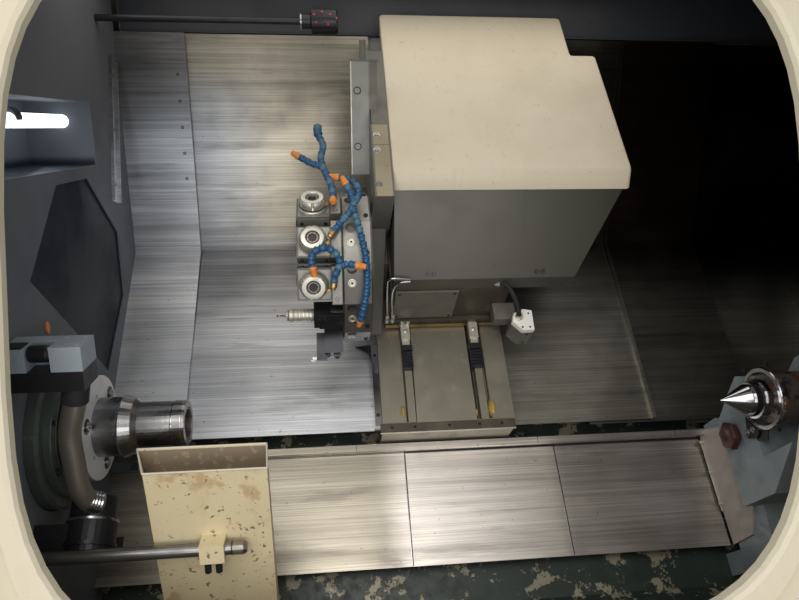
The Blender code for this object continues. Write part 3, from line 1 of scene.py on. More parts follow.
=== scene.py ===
"""Looks of the slant-bed turning centre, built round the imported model."""
import json
import math
import random
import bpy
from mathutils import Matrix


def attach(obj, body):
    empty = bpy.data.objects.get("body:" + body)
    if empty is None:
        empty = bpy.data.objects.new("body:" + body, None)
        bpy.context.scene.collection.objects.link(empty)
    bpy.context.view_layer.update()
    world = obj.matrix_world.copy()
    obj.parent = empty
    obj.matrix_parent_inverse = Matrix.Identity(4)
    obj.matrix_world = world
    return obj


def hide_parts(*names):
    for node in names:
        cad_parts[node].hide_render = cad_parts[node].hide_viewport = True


random.seed(7)

import bmesh
import bpy
from mathutils import Matrix, Vector

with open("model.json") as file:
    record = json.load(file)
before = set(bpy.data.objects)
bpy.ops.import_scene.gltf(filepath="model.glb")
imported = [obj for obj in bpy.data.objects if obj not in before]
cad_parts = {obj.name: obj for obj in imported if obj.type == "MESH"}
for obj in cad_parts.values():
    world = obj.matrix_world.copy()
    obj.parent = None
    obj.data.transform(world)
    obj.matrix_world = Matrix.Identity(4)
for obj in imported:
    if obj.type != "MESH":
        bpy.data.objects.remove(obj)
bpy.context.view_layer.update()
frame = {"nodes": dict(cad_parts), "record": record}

SPINDLE_PLACE = (-0.69, -0.147, 1.05)
BED_SLOPE = 45
FRONT_LEAN = -13.4


def at(place, x, y, z):
    return place @ Matrix.Translation((x, y, z))


def around(place, degrees):
    """A frame turned about the X axis of a place."""
    return place @ Matrix.Rotation(math.radians(degrees), 4, "X")


def turned_to(direction):
    """A frame at the origin whose X axis points along a direction."""
    return Vector(direction).to_track_quat("X", "Z").to_matrix().to_4x4()


WORLD = Matrix.Identity(4)
SPINDLE = Matrix.Translation(SPINDLE_PLACE)
SLOPE = around(SPINDLE, BED_SLOPE)
FRONT = around(at(SPINDLE, 0, -0.45, 0), FRONT_LEAN)
TURRET = at(SLOPE, 0, 0.394, 0)
SETTER = at(SLOPE, 0.0097, -0.1948, -0.0074)
CATCHER = at(SPINDLE, 0, -0.245, -0.142)
PANEL = at(SPINDLE, 2.02, -0.66, 0)
UPWARD = turned_to((0, 0, 1))
DOWNWARD = turned_to((0, 0, -1))
FORWARD = turned_to((0, -1, 0))
BACKWARD = turned_to((0, 1, 0))
LEFTWARD = turned_to((-1, 0, 0))


def station(degrees):
    """A frame at the turret's axis whose Z points out through a station."""
    return around(TURRET, -degrees)


# Materials


class Shader:
    """Builds a procedural finish in the object's own metres."""

    def __init__(self, name, colour, roughness, metallic=0.0):
        self.material = bpy.data.materials.new(name)
        self.material.use_nodes = True
        self.tree = self.material.node_tree
        self.shader = self.tree.nodes["Principled BSDF"]
        self.shader.inputs["Base Color"].default_value = (*colour, 1)
        self.shader.inputs["Roughness"].default_value = roughness
        self.shader.inputs["Metallic"].default_value = metallic
        self.place = self.tree.nodes.new("ShaderNodeTexCoord").outputs["Object"]

    def put(self, value, socket):
        """Links an output to a socket, or writes a plain value there."""
        if isinstance(value, bpy.types.NodeSocket):
            self.tree.links.new(value, socket)
        else:
            socket.default_value = value

    def carry(self, below, socket):
        """Hands on what feeds a socket of the shader."""
        self.put(below.links[0].from_socket if below.is_linked else below.default_value, socket)

    def noise(self, scale, stretch=(1, 1, 1), detail=4.0, roughness=0.55, shift=(0, 0, 0)):
        mapping = self.tree.nodes.new("ShaderNodeMapping")
        mapping.inputs["Scale"].default_value = stretch
        mapping.inputs["Location"].default_value = shift
        self.put(self.place, mapping.inputs["Vector"])
        made = self.tree.nodes.new("ShaderNodeTexNoise")
        made.inputs["Scale"].default_value = scale
        made.inputs["Detail"].default_value = detail
        made.inputs["Roughness"].default_value = roughness
        self.put(mapping.outputs["Vector"], made.inputs["Vector"])
        return made.outputs["Fac"]

    def along(self, axis):
        """The place along one axis, in metres."""
        parts = self.tree.nodes.new("ShaderNodeSeparateXYZ")
        self.put(self.place, parts.inputs["Vector"])
        return parts.outputs[axis]

    def fit(self, value, low, high, out_low=0.0, out_high=1.0):
        made = self.tree.nodes.new("ShaderNodeMapRange")
        made.interpolation_type = "SMOOTHSTEP"
        made.inputs["From Min"].default_value = low
        made.inputs["From Max"].default_value = high
        made.inputs["To Min"].default_value = out_low
        made.inputs["To Max"].default_value = out_high
        self.put(value, made.inputs["Value"])
        return made.outputs["Result"]

    def times(self, first, second):
        made = self.tree.nodes.new("ShaderNodeMath")
        made.operation = "MULTIPLY"
        for socket, value in zip(made.inputs, (first, second)):
            self.put(value, socket)
        return made.outputs["Value"]

    def mix(self, name, factor, value, kind="RGBA", blend="MIX"):
        """Mixes a value over what one socket of the shader has."""
        below = self.shader.inputs[name]
        made = self.tree.nodes.new("ShaderNodeMix")
        made.data_type = kind
        made.blend_type = blend
        self.carry(below, made.inputs["A"])
        self.put(value, made.inputs["B"])
        self.put(factor, made.inputs["Factor"])
        self.put(made.outputs["Result"], below)

    def tint(self, factor, colour):
        """Lays a colour over what is there."""
        self.mix("Base Color", factor, (*colour, 1))

    def vary(self, value):
        """Makes what is there darker or lighter by a factor."""
        self.mix("Base Color", 1.0, value, blend="MULTIPLY")

    def blend_value(self, name, factor, value):
        """Moves roughness or metallic towards a value."""
        self.mix(name, factor, value, kind="FLOAT")

    def relief(self, height, strength, distance):
        below = self.shader.inputs["Normal"]
        made = self.tree.nodes.new("ShaderNodeBump")
        made.inputs["Strength"].default_value = strength
        made.inputs["Distance"].default_value = distance
        if below.is_linked:
            self.carry(below, made.inputs["Normal"])
        self.put(height, made.inputs["Height"])
        self.put(made.outputs["Normal"], below)


def scaled(colour, share):
    """A colour made darker or lighter, at most white."""
    return tuple(min(1.0, part * share) for part in colour)


def stainless(name, colour, painted_light_and_shade=(), dirt=0.3, dark=(0.1, 0.095, 0.085)):
    """Sheet brushed along the machine: painted light and shade that change along it, drawn lines, dull clouds
    and drips.
    """
    made = Shader(name, colour, 0.34, 0.9)
    # painted light and shade: each row lays its colour over the sheet by place along one axis
    for axis, low, high, painted_tone, most in painted_light_and_shade:
        made.tint(made.fit(made.along(axis), low, high, 0.0, most), painted_tone)
    lines = made.noise(1.0, (2.5, 420, 420), 6.0, 0.7)
    made.vary(made.fit(lines, 0.3, 0.72, 0.74, 1.3))
    bands = made.noise(1.0, (0.6, 26, 26), 4.0, 0.6, (3, 1, 7))
    made.vary(made.fit(bands, 0.32, 0.72, 1.14, 0.78))
    clouds = made.noise(2.2, (1, 1, 1), 5.0, 0.6, (5, 2, 1))
    made.tint(made.fit(clouds, 0.48, 0.72, 0.0, dirt), dark)
    smears = made.noise(1.0, (3.0, 9.0, 30.0), 4.0, 0.6, (6, 4, 2))
    made.vary(made.fit(smears, 0.55, 0.72, 1.0, 0.72))
    made.blend_value("Roughness", made.fit(clouds, 0.42, 0.7), 0.52)
    made.blend_value("Metallic", made.fit(clouds, 0.5, 0.8, 0.0, 0.45), 0.2)
    specks = made.noise(90.0, detail=2.0, roughness=0.5)
    made.tint(made.fit(specks, 0.7, 0.76, 0.0, 0.5), dark)
    made.relief(lines, 0.16, 0.0006)
    made.relief(made.noise(3.0, detail=3.0), 0.25, 0.004)
    return made


def paint(name, colour, dirt_colour, dirt=0.4, rough=0.42, speck=0.35, orange=0.12):
    """Sprayed paint with orange peel, dull patches, small marks and runs."""
    made = Shader(name, colour, rough)
    clouds = made.noise(3.0, (1, 1, 1), 6.0, 0.62, (1, 4, 2))
    made.tint(made.fit(clouds, 0.45, 0.75, 0.0, dirt), dirt_colour)
    runs = made.noise(1.0, (38, 38, 3.0), 5.0, 0.6, (2, 2, 9))
    made.tint(made.fit(runs, 0.56, 0.78, 0.0, dirt * 0.8), dirt_colour)
    marks = made.noise(60.0, detail=3.0, roughness=0.6)
    made.tint(made.fit(marks, 0.66, 0.72, 0.0, speck), scaled(dirt_colour, 0.35))
    made.blend_value("Roughness", made.fit(clouds, 0.4, 0.7), min(1.0, rough + 0.22))
    made.relief(made.noise(500.0, detail=2.0), orange, 0.0003)
    return made


def steel(name, colour, rough, turned=(400, 3, 3), metallic=1.0, dirt=0.25):
    """Bare machined steel with tool marks and oily shade."""
    made = Shader(name, colour, rough, metallic)
    marks = made.noise(1.0, turned, 4.0, 0.6)
    made.tint(made.fit(marks, 0.45, 0.75, 0.0, 0.3), scaled(colour, 1.5))
    clouds = made.noise(14.0, detail=5.0)
    made.tint(made.fit(clouds, 0.5, 0.75, 0.0, dirt), scaled(colour, 0.3))
    made.blend_value("Roughness", made.fit(clouds, 0.45, 0.7), min(1.0, rough + 0.15))
    made.relief(marks, 0.06, 0.0004)
    return made


def casting(name, colour, dirt_colour, rough=0.5, grain=0.35):
    """Painted casting with a rough skin, oily patches and rubbed spots."""
    made = Shader(name, colour, rough, 0.15)
    clouds = made.noise(6.0, (1, 1, 1), 6.0, 0.65)
    made.tint(made.fit(clouds, 0.45, 0.72, 0.0, 0.55), dirt_colour)
    rubs = made.noise(35.0, (1, 1, 1), 5.0, 0.7)
    made.tint(made.fit(rubs, 0.62, 0.75, 0.0, 0.35), tuple(min(1.0, part * 1.9 + 0.05) for part in colour))
    made.blend_value("Roughness", made.fit(rubs, 0.4, 0.7), rough + 0.2)
    made.relief(made.noise(160.0), grain, 0.0008)
    return made


def shaded(made, axis, low, high, colour, most=1.0):
    """Lays a colour over a finish that grows along one axis."""
    made.tint(made.fit(made.along(axis), low, high, 0.0, most), colour)
    return made


def patches(made, scale, low, high, colour, most, shift=(0, 0, 0)):
    """Lays spots of a colour over a finish."""
    made.tint(made.fit(made.noise(scale, (1, 1, 1), 4.0, 0.6, shift), low, high, 0.0, most), colour)
    return made


def front_sheet():
    """The lower plates, with a painted highlight that makes them palest in the middle."""
    painted_light_and_shade = (("X", -0.1, 0.0, (0.86, 0.8, 0.73), 1.0), ("X", 0.36, 0.44, (0.46, 0.43, 0.41), 0.8))
    made = stainless("front_sheet_steel", (0.42, 0.385, 0.315), painted_light_and_shade)
    return patches(made, 1.6, 0.45, 0.66, (0.55, 0.51, 0.46), 0.35, (8, 1, 1))


def saddle_steel():
    made = steel("saddle_steel", (0.21, 0.195, 0.155), 0.34, (300, 8, 8), 0.5)
    pale = (0.36, 0.33, 0.26)
    patches(made, 30.0, 0.56, 0.66, pale, 0.5)
    # painted light and shade: pale low down on the saddle, darker higher up where the slide's shadow falls;
    # the pale patches are wear
    return shaded(made, "Z", 1.12, 1.02, pale, 0.6)


def slide_steel():
    made = steel("slide_steel", (0.075, 0.066, 0.05), 0.42, (60, 60, 60), 0.3)
    return patches(made, 12.0, 0.52, 0.66, (0.15, 0.115, 0.07), 0.6)


def scraper_paint():
    made = casting("scraper_paint", (0.58, 0.52, 0.47), (0.34, 0.3, 0.26), 0.4, 0.2)
    return patches(made, 9.0, 0.5, 0.66, (0.5, 0.46, 0.42), 0.6)


def quill_steel():
    """Steel with what is left of red, brown, cream and blue paint."""
    made = steel("quill_steel", (0.22, 0.19, 0.165), 0.4, (3, 300, 300), 0.6)
    patches(made, 26.0, 0.52, 0.58, (0.3, 0.05, 0.035), 0.8, (1, 7, 3))
    patches(made, 20.0, 0.55, 0.6, (0.1, 0.055, 0.03), 0.8, (5, 2, 2))
    patches(made, 18.0, 0.58, 0.62, (0.55, 0.5, 0.4), 0.7, (9, 9, 1))
    return patches(made, 24.0, 0.6, 0.64, (0.02, 0.035, 0.07), 0.8, (2, 3, 8))


def bar_steel():
    made = steel("bar_steel", (0.24, 0.235, 0.23), 0.28, (3, 400, 400), 0.9)
    return shaded(made, "X", -0.41, -0.37, (0.26, 0.2, 0.14), 0.6)


def wall_paint():
    """Dark paint, with painted light that makes it paler high up and painted shade that makes the wall's
    recess nearly black.
    """
    made = paint("wall_paint", (0.15, 0.16, 0.185), (0.09, 0.098, 0.115), 0.4, 0.5, 0.1, 0.1)
    made.shader.inputs["Specular IOR Level"].default_value = 0.2
    # painted light: the wall grows paler high up
    shaded(made, "Z", 1.55, 1.85, (0.135, 0.14, 0.155), 0.9)
    # painted shade: the wall's recess made nearly black
    painted_recess_shade = made.times(made.fit(made.along("X"), -0.7765, -0.779), made.fit(made.along("Z"), 1.6, 1.58))
    made.tint(painted_recess_shade, (0.018, 0.024, 0.034))
    return made


def bed_paint():
    """Dark green casting with pale chips lying on it."""
    made = casting("green_cast", (0.04, 0.056, 0.047), (0.02, 0.027, 0.025), 0.35, 0.25)
    chips = made.noise(16.0, (1, 1, 1), 6.0, 0.75, (4, 4, 4))
    made.tint(made.fit(chips, 0.545, 0.56, 0.0, 0.9), (0.4, 0.37, 0.27))
    made.relief(made.fit(chips, 0.545, 0.56), 0.6, 0.0012)
    return made


def chute_paint():
    made = paint("chute_paint", (0.72, 0.62, 0.4), (0.52, 0.42, 0.22), 0.6, 0.4, 0.6)
    patches(made, 14.0, 0.56, 0.66, (0.42, 0.22, 0.09), 0.5, (2, 6, 1))
    return patches(made, 70.0, 0.62, 0.66, (0.12, 0.07, 0.03), 0.8, (7, 7, 1))


def lining_dirt_and_painted_shade():
    # dirt and painted shade: the brown-grey of the chute's inner back wall
    made = paint("chute_back_wall_dirt_and_painted_shade", (0.24, 0.19, 0.13), (0.11, 0.085, 0.06), 0.6, 0.6, 0.6)
    return patches(made, 60.0, 0.56, 0.64, (0.4, 0.33, 0.24), 0.6)


def housing_painted_shade():
    # painted shade: the housing's cream front drawn dark as it lies in shadow, darker still towards the right
    made = paint("cream_in_painted_shade", (0.105, 0.1, 0.08), (0.06, 0.057, 0.045), 0.35, 0.34, 0.25, 0.2)
    return shaded(made, "X", 0.05, 0.52, (0.04, 0.04, 0.029), 0.9)


def disc_steel_with_painted_shadow():
    made = steel("disc_steel_with_painted_shadow", (0.37, 0.355, 0.325), 0.4, (60, 60, 60), 0.55, 0.4)
    # painted shadow over the lower part of the disc's face
    return shaded(made, "Z", 1.42, 1.32, (0.12, 0.115, 0.105), 0.9)


def strip_paint():
    made = casting("strip_paint", (0.175, 0.17, 0.145), (0.09, 0.085, 0.07), 0.42, 0.15)
    return shaded(made, "X", -0.088, -0.094, (0.36, 0.36, 0.34), 0.8)


def window_glass():
    made = Shader("window_glass", (0.75, 0.8, 0.8), 0.05)
    made.shader.inputs["Transmission Weight"].default_value = 0.85
    return made


def lamp_tube():
    made = Shader("lamp_tube", (0.9, 0.93, 0.95), 0.3)
    made.shader.inputs["Emission Color"].default_value = (0.85, 0.93, 1.0, 1)
    made.shader.inputs["Emission Strength"].default_value = 2.2
    return made


def screen_glass():
    return Shader("screen_glass", (0.012, 0.016, 0.022), 0.08)


# Rows of painted light and shade say the axis, where each starts and is full, its colour and its strength.
SHEETS = (
    ("way_cover", "way_cover_steel", (0.5, 0.485, 0.46), (), 0.35),
    # Side sheet: a painted highlight makes it pale blue low down; it grows darker high up.
    ("side_sheet", "side_sheet_steel", (0.62, 0.65, 0.7), (
        ("Z", 1.4, 1.15, (0.92, 0.95, 1.0), 0.9), ("Z", 1.5, 1.85, (0.14, 0.135, 0.13), 0.85)), 0.2),
    # Left sheet: painted highlights, bluish towards the left and pale at the bottom, with a darker band above
    # the pale one; high up the sheet's own colour comes back.
    ("left_sheet", "left_sheet_steel", (0.36, 0.33, 0.265), (
        ("X", -0.3, -0.58, (0.46, 0.5, 0.56), 0.75), ("Z", 1.7, 1.85, (0.36, 0.33, 0.265), 0.9),
        ("Z", 1.38, 1.29, (0.2, 0.21, 0.23), 0.7), ("Z", 1.22, 1.06, (0.8, 0.82, 0.86), 0.85))),
    # Right sheet, middle sheet and right wall: painted shade makes them near black towards the top; the
    # middle sheet's dark clouds are its rust and dirt.
    ("right_sheet", "right_sheet_steel", (0.4, 0.39, 0.34), (
        ("Z", 1.02, 1.32, (0.014, 0.014, 0.012), 0.97),), 0.4),
    ("middle_sheet", "middle_sheet_steel", (0.26, 0.25, 0.225), (
        ("Z", 1.02, 1.3, (0.022, 0.014, 0.01), 1.0),), 0.5, (0.02, 0.018, 0.016)),
    ("black_wall", "right_wall_steel", (0.3, 0.3, 0.27), (
        ("Z", 1.04, 1.26, (0.004, 0.004, 0.004), 1.0),), 0.4, (0.03, 0.03, 0.03)),
)
CASTINGS = (
    ("tail_cast", "tailstock_paint", (0.36, 0.42, 0.46), (0.2, 0.225, 0.235), 0.42, 0.2),
    ("head_cast", "headstock_paint", (0.075, 0.095, 0.085), (0.035, 0.04, 0.035), 0.45, 0.25),
    ("cast", "grey_cast", (0.2, 0.2, 0.185), (0.09, 0.09, 0.075)),
)
PAINTS = (
    ("cream", "cream_paint", (0.7, 0.64, 0.5), (0.42, 0.36, 0.25), 0.35),
    ("ring", "ring_paint", (0.67, 0.62, 0.475), (0.52, 0.46, 0.315), 0.25, 0.5, 0.1, 0.4),
    ("casing", "casing_paint", (0.66, 0.645, 0.6), (0.5, 0.475, 0.42), 0.25, 0.45, 0.2),
    ("white", "white_paint", (0.95, 0.93, 0.88), (0.72, 0.68, 0.6), 0.2, 0.45, 0.2),
    ("dark_wall", "dark_wall_paint", (0.045, 0.05, 0.06), (0.025, 0.028, 0.03), 0.4, 0.35),
    ("blue", "blue_plastic", (0.02, 0.095, 0.215), (0.1, 0.165, 0.19), 0.5, 0.32, 0.1, 0.05),
    ("pale_blue", "pale_blue_plastic", (0.07, 0.17, 0.25), (0.17, 0.24, 0.26), 0.5, 0.4, 0.1, 0.05),
    ("orange", "orange_plastic", (0.8, 0.28, 0.05), (0.6, 0.2, 0.08), 0.3, 0.35, 0.1, 0.05),
    ("rubber", "rubber", (0.02, 0.02, 0.022), (0.05, 0.05, 0.045), 0.4, 0.7),
    ("chute_lip", "chute_lip_paint", (0.66, 0.62, 0.5), (0.4, 0.33, 0.2), 0.3, 0.4, 0.3),
    ("red", "red_plastic", (0.6, 0.03, 0.02), (0.4, 0.03, 0.02), 0.2, 0.3),
    ("lid", "lid_paint", (0.78, 0.7, 0.54), (0.56, 0.48, 0.35), 0.35, 0.38, 0.2, 0.25),
    ("red_ball", "ruby_ball", (0.35, 0.02, 0.02), (0.2, 0.01, 0.01), 0.1, 0.15),
    ("label", "plate_paint", (0.36, 0.315, 0.21), (0.23, 0.19, 0.11), 0.5, 0.4, 0.35),
    ("grease", "grease", (0.42, 0.3, 0.07), (0.22, 0.14, 0.03), 0.5, 0.35, 0.4),
    ("knob", "dark_red_plastic", (0.085, 0.022, 0.022), (0.04, 0.015, 0.012), 0.4, 0.3),
    ("blue_paint", "dark_blue_paint", (0.03, 0.07, 0.13), (0.02, 0.03, 0.05), 0.4, 0.35),
    ("beige", "beige_plate", (0.5, 0.44, 0.34), (0.3, 0.25, 0.18), 0.4, 0.4),
    ("key_grey", "key_grey_plastic", (0.42, 0.43, 0.44), (0.3, 0.3, 0.3), 0.2, 0.45),
    ("key_dark", "key_dark_plastic", (0.1, 0.11, 0.13), (0.07, 0.07, 0.08), 0.2, 0.45),
    ("collar", "collar_plastic", (0.75, 0.52, 0.03), (0.5, 0.34, 0.03), 0.2, 0.4),
)
STEELS = (
    ("polished", "polished_steel", (0.48, 0.48, 0.5), 0.14, (500, 2, 2), 1.0, 0.2),
    ("machined", "machined_steel", (0.42, 0.41, 0.4), 0.3),
    ("plate_steel", "chuck_plate_steel", (0.84, 0.84, 0.86), 0.36, (300, 2, 2), 0.25, 0.15),
    ("chuck_steel", "chuck_steel", (0.3, 0.3, 0.305), 0.24, (900, 2, 2), 1.0, 0.3),
    ("pale_nut", "pale_nut_steel", (0.62, 0.6, 0.52), 0.38, (60, 60, 60), 0.7),
    ("black", "black_steel", (0.035, 0.035, 0.04), 0.34, (80, 80, 80), 0.6),
    ("steel_screw", "screw_steel", (0.1, 0.1, 0.1), 0.35, (200, 200, 200)),
    ("warm_steel", "warm_steel", (0.26, 0.235, 0.205), 0.3, (3, 3, 300), 0.7),
    ("brass", "brass_fitting", (0.5, 0.33, 0.14), 0.35, (100, 100, 100), 0.9),
    # head_body: a darker copy of the heads' steel, painted shade in the gaps between the driven heads and on
    # their sides
    ("head_body", "head_body_steel", (0.13, 0.13, 0.115), 0.4, (60, 60, 60), 0.4, 0.4),
    ("head_plate", "head_plate_steel", (0.3, 0.295, 0.27), 0.38, (60, 60, 60), 0.6, 0.4),
)
OWN_MAKERS = {
    "front_sheet": front_sheet, "saddle": saddle_steel, "slide": slide_steel, "scraper": scraper_paint,
    "quill": quill_steel, "bar_steel": bar_steel, "wall": wall_paint, "bed": bed_paint, "chute": chute_paint,
    "chute_lining": lining_dirt_and_painted_shade, "shade_cream": housing_painted_shade, "disc": disc_steel_with_painted_shadow, "strip": strip_paint,
    "glass": window_glass, "lamp": lamp_tube, "screen": screen_glass,
}
M = {key: maker().material for key, maker in OWN_MAKERS.items()}
for maker, rows in ((stainless, SHEETS), (casting, CASTINGS), (paint, PAINTS), (steel, STEELS)):
    for key, *values in rows:
        M[key] = maker(*values).material

# A CAD node takes its slot's finish, unless it has one of its own.
SLOT_FINISH = {
    "cast_green": "bed", "grey_casting": "cast", "dark_sheet": "wall", "stainless": "way_cover",
    "cream_paint": "cream", "white_paint": "casing", "polished_steel": "polished",
    "machined_steel": "machined", "black_steel": "black", "lamp_glass": "lamp", "blue_plastic": "blue",
    "rubber": "rubber", "window_glass": "glass", "stop_red": "red",
}
NODE_FINISH = {
    "opening_ring": "ring", "front_casing": "ring", "catcher_chute": "chute", "turret_disc": "disc",
    "turret_casting": "strip", "turret_housing": "shade_cream", "side_cover": "side_sheet",
    "left_cover": "left_sheet", "right_cover": "right_sheet", "middle_cover": "middle_sheet",
    "right_wall": "black_wall", "front_covers": "front_sheet", "saddle": "saddle", "cross_slide": "slide",
    "tailstock_casting": "tail_cast", "scraper_plate": "scraper", "quill": "quill",
    "headstock_casting": "head_cast", "catcher_bar": "bar_steel", "chuck_plate": "plate_steel",
    "collet_chuck": "chuck_steel", "driven_head_1": "head_body", "driven_head_2": "head_body",
    "driven_head_3": "head_body",
}
SLOTS = {entry["node"]: entry["material_slot"] for entry in frame["record"]["subparts"]}
for node, thing in frame["nodes"].items():
    finish = NODE_FINISH.get(node, SLOT_FINISH[SLOTS[node]])
    for slot in thing.material_slots:
        slot.link = "OBJECT"
        slot.material = M[finish]


# Camera, lights and stage

CAMERA_PLACE = (-0.1968, -1.4741, 1.669)
CAMERA_RIGHT = Vector((0.99427, -0.10685, 0.00297))
CAMERA_UP = Vector((0.02465, 0.25625, 0.9663))
CAMERA_AHEAD = Vector((0.10401, 0.96069, -0.25742))
LENS = 29.29
SENSOR_WIDTH = 36
FLOOR_HALF = 14
# Each light has a place, a point that it shines at, a size, a power in watts and a colour.
LIGHTS = (
    ("room_key", (-0.7, -2.4, 3.2), (0.0, 0.0, 1.2), (2.4, 1.6), 43, (1.0, 0.96, 0.9)),
    ("roof_strip", (0.0, 0.22, 2.06), (0.0, 0.18, 1.0), (1.5, 0.35), 2.2, (1.0, 0.95, 0.88)),
    ("front_fill", (-0.1, -2.3, 1.35), (0.1, -0.2, 0.95), (2.0, 0.8), 17, (1.0, 0.97, 0.93)),
    ("work_beam", (-0.8, 0.02, 1.62), (0.0, 0.25, 1.1), (0.35, 0.08), 0.08, (0.75, 0.87, 1.0)),
)
WORLD_COLOUR = (0.93, 0.95, 1.0)
WORLD_STRENGTH = 0.35


def in_scene(name, data):
    made = bpy.data.objects.new(name, data)
    bpy.context.scene.collection.objects.link(made)
    return made


def photo_camera():
    data = bpy.data.cameras.new("photo_camera")
    data.lens = LENS
    data.sensor_width = SENSOR_WIDTH
    data.sensor_fit = "HORIZONTAL"
    data.clip_start = 0.02
    camera = in_scene("photo_camera", data)
    facing = Matrix((CAMERA_RIGHT, CAMERA_UP, -CAMERA_AHEAD)).transposed().to_4x4()
    camera.matrix_world = Matrix.Translation(CAMERA_PLACE) @ facing
    return camera


def area_light(name, place, aim, size, power, colour):
    data = bpy.data.lights.new(name, "AREA")
    data.shape = "RECTANGLE"
    data.size, data.size_y = size
    data.energy = power
    data.color = colour
    light = in_scene(name, data)
    facing = (Vector(aim) - Vector(place)).to_track_quat("-Z", "Y").to_matrix().to_4x4()
    light.matrix_world = Matrix.Translation(place) @ facing
    light.visible_camera = False


def studio():
    world = bpy.data.worlds.new("studio")
    bpy.context.scene.world = world
    world.use_nodes = True
    background = world.node_tree.nodes["Background"]
    background.inputs["Color"].default_value = (*WORLD_COLOUR, 1)
    background.inputs["Strength"].default_value = WORLD_STRENGTH
    mesh = bpy.data.meshes.new("floor")
    shape = bmesh.new()
    bmesh.ops.create_grid(shape, x_segments=1, y_segments=1, size=FLOOR_HALF)
    shape.to_mesh(mesh)
    shape.free()
    finish = Shader("floor_paint", (0.72, 0.72, 0.71), 0.6)
    finish.tint(finish.fit(finish.noise(0.8), 0.4, 0.7, 0.0, 0.2), (0.66, 0.66, 0.66))
    mesh.materials.append(finish.material)
    floor = in_scene("floor", mesh)


bpy.context.scene.camera = photo_camera()
bpy.context.scene.view_settings.view_transform = "Standard"
for row in LIGHTS:
    area_light(*row)
studio()


# Pieces


LEAST_RADIUS = 0.00002
WELD_DISTANCE = 0.000001


class Piece:
    """Collects solids in one mesh; each solid takes the finish that is set when it is added."""

    def __init__(self, name, body, *finishes):
        self.name = name
        self.body = body
        self.finishes = finishes
        self.finish = 0
        self.shape = bmesh.new()

    def use(self, finish):
        self.finish = self.finishes.index(finish)

    def add(self, place, points, faces):
        made = [self.shape.verts.new(place @ Vector(point)) for point in points]
        for face in faces:
            built = self.shape.faces.new([made[index] for index in face])
            built.material_index = self.finish
            built.smooth = True
        return made

    def rings(self, place, sections, closed=False, caps=True):
        """Skins equal rings of points from first to last."""
        count = len(sections[0])
        points = [point for section in sections for point in section]
        faces = []
        pairs = list(zip(range(len(sections)), range(1, len(sections))))
        if closed:
            pairs.append((len(sections) - 1, 0))
        for near, far in pairs:
            for index in range(count):
                after = (index + 1) % count
                faces.append((near * count + index, near * count + after,
                              far * count + after, far * count + index))
        if caps and not closed:
            faces.append(tuple(range(count))[::-1])
            faces.append(tuple((len(sections) - 1) * count + index for index in range(count)))
        self.add(place, points, faces)

    def block(self, place, x, y, z):
        self.prism_x(place, rectangle(y, z), x)

    def prism_x(self, place, outline, span):
        self.rings(place, [[(x, y, z) for y, z in outline] for x in span])

    def prism_y(self, place, outline, span):
        self.rings(place, [[(x, y, z) for x, z in outline] for y in span])

    def prism_z(self, place, outline, span):
        self.rings(place, [[(x, y, z) for x, y in outline] for z in span])

    def lathe(self, place, profile, sides=24, start=0.0):
        """Turns (x, radius) points about the X axis; a profile that ends as it began makes a ring."""
        closed = profile[0] == profile[-1]
        rows = profile[:-1] if closed else profile
        turns = [start + 2 * math.pi * side / sides for side in range(sides)]
        sections = []
        for x, radius in rows:
            size = max(radius, LEAST_RADIUS)
            sections.append([(x, size * math.cos(turn), size * math.sin(turn)) for turn in turns])
        self.rings(place, sections, closed=closed)

    def pipe(self, place, path, radii, sides=12, closed_ends=True):
        """Sweeps a round section along a path, with one radius for all or one for each point."""
        path = [Vector(point) for point in path]
        if isinstance(radii, (int, float)):
            radii = [radii] * len(path)
        sections = []
        way = None
        for index, point in enumerate(path):
            ahead = path[min(index + 1, len(path) - 1)] - path[max(index - 1, 0)]
            ahead.normalize()
            if way is None:
                way = ahead.orthogonal()
            way = (way - ahead * way.dot(ahead)).normalized()
            other = ahead.cross(way)
            sections.append([point + way * (radii[index] * math.cos(2 * math.pi * side / sides))
                             + other * (radii[index] * math.sin(2 * math.pi * side / sides))
                             for side in range(sides)])
        self.rings(place, sections, caps=closed_ends)

    def finished(self, bevel=0.0, angle=35, segments=2):
        bmesh.ops.remove_doubles(self.shape, verts=self.shape.verts, dist=WELD_DISTANCE)
        bmesh.ops.recalc_face_normals(self.shape, faces=self.shape.faces)
        mesh = bpy.data.meshes.new(self.name)
        self.shape.to_mesh(mesh)
        self.shape.free()
        mesh.set_sharp_from_angle(angle=math.radians(angle))
        for finish in self.finishes:
            mesh.materials.append(M[finish])
        made = in_scene(self.name, mesh)
        if bevel:
            step = made.modifiers.new("edges", "BEVEL")
            step.width = bevel
            step.segments = segments
            step.limit_method = "ANGLE"
            step.angle_limit = math.radians(angle)
            step.use_clamp_overlap = True
        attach(made, self.body)
        return made


def rectangle(x, y):
    return [(x[0], y[0]), (x[1], y[0]), (x[1], y[1]), (x[0], y[1])]


def arc(middle, radius, first, last, count):
    steps = [first + (last - first) * index / (count - 1) for index in range(count)]
    return [(middle[0] + radius * math.cos(a), middle[1] + radius * math.sin(a)) for a in steps]


def rounded_outline(points, radius, count=5):
    """Rounds every corner of a plan outline."""
    made = []
    total = len(points)
    for index, point in enumerate(points):
        corner = Vector(point)
        before = (Vector(points[index - 1]) - corner)
        after = (Vector(points[(index + 1) % total]) - corner)
        reach = min(radius, before.length * 0.45, after.length * 0.45)
        start = corner + before.normalized() * reach
        end = corner + after.normalized() * reach
        for step in range(count):
            t = step / (count - 1)
            made.append(tuple(start.lerp(corner, t).lerp(corner.lerp(end, t), t)))
    return made


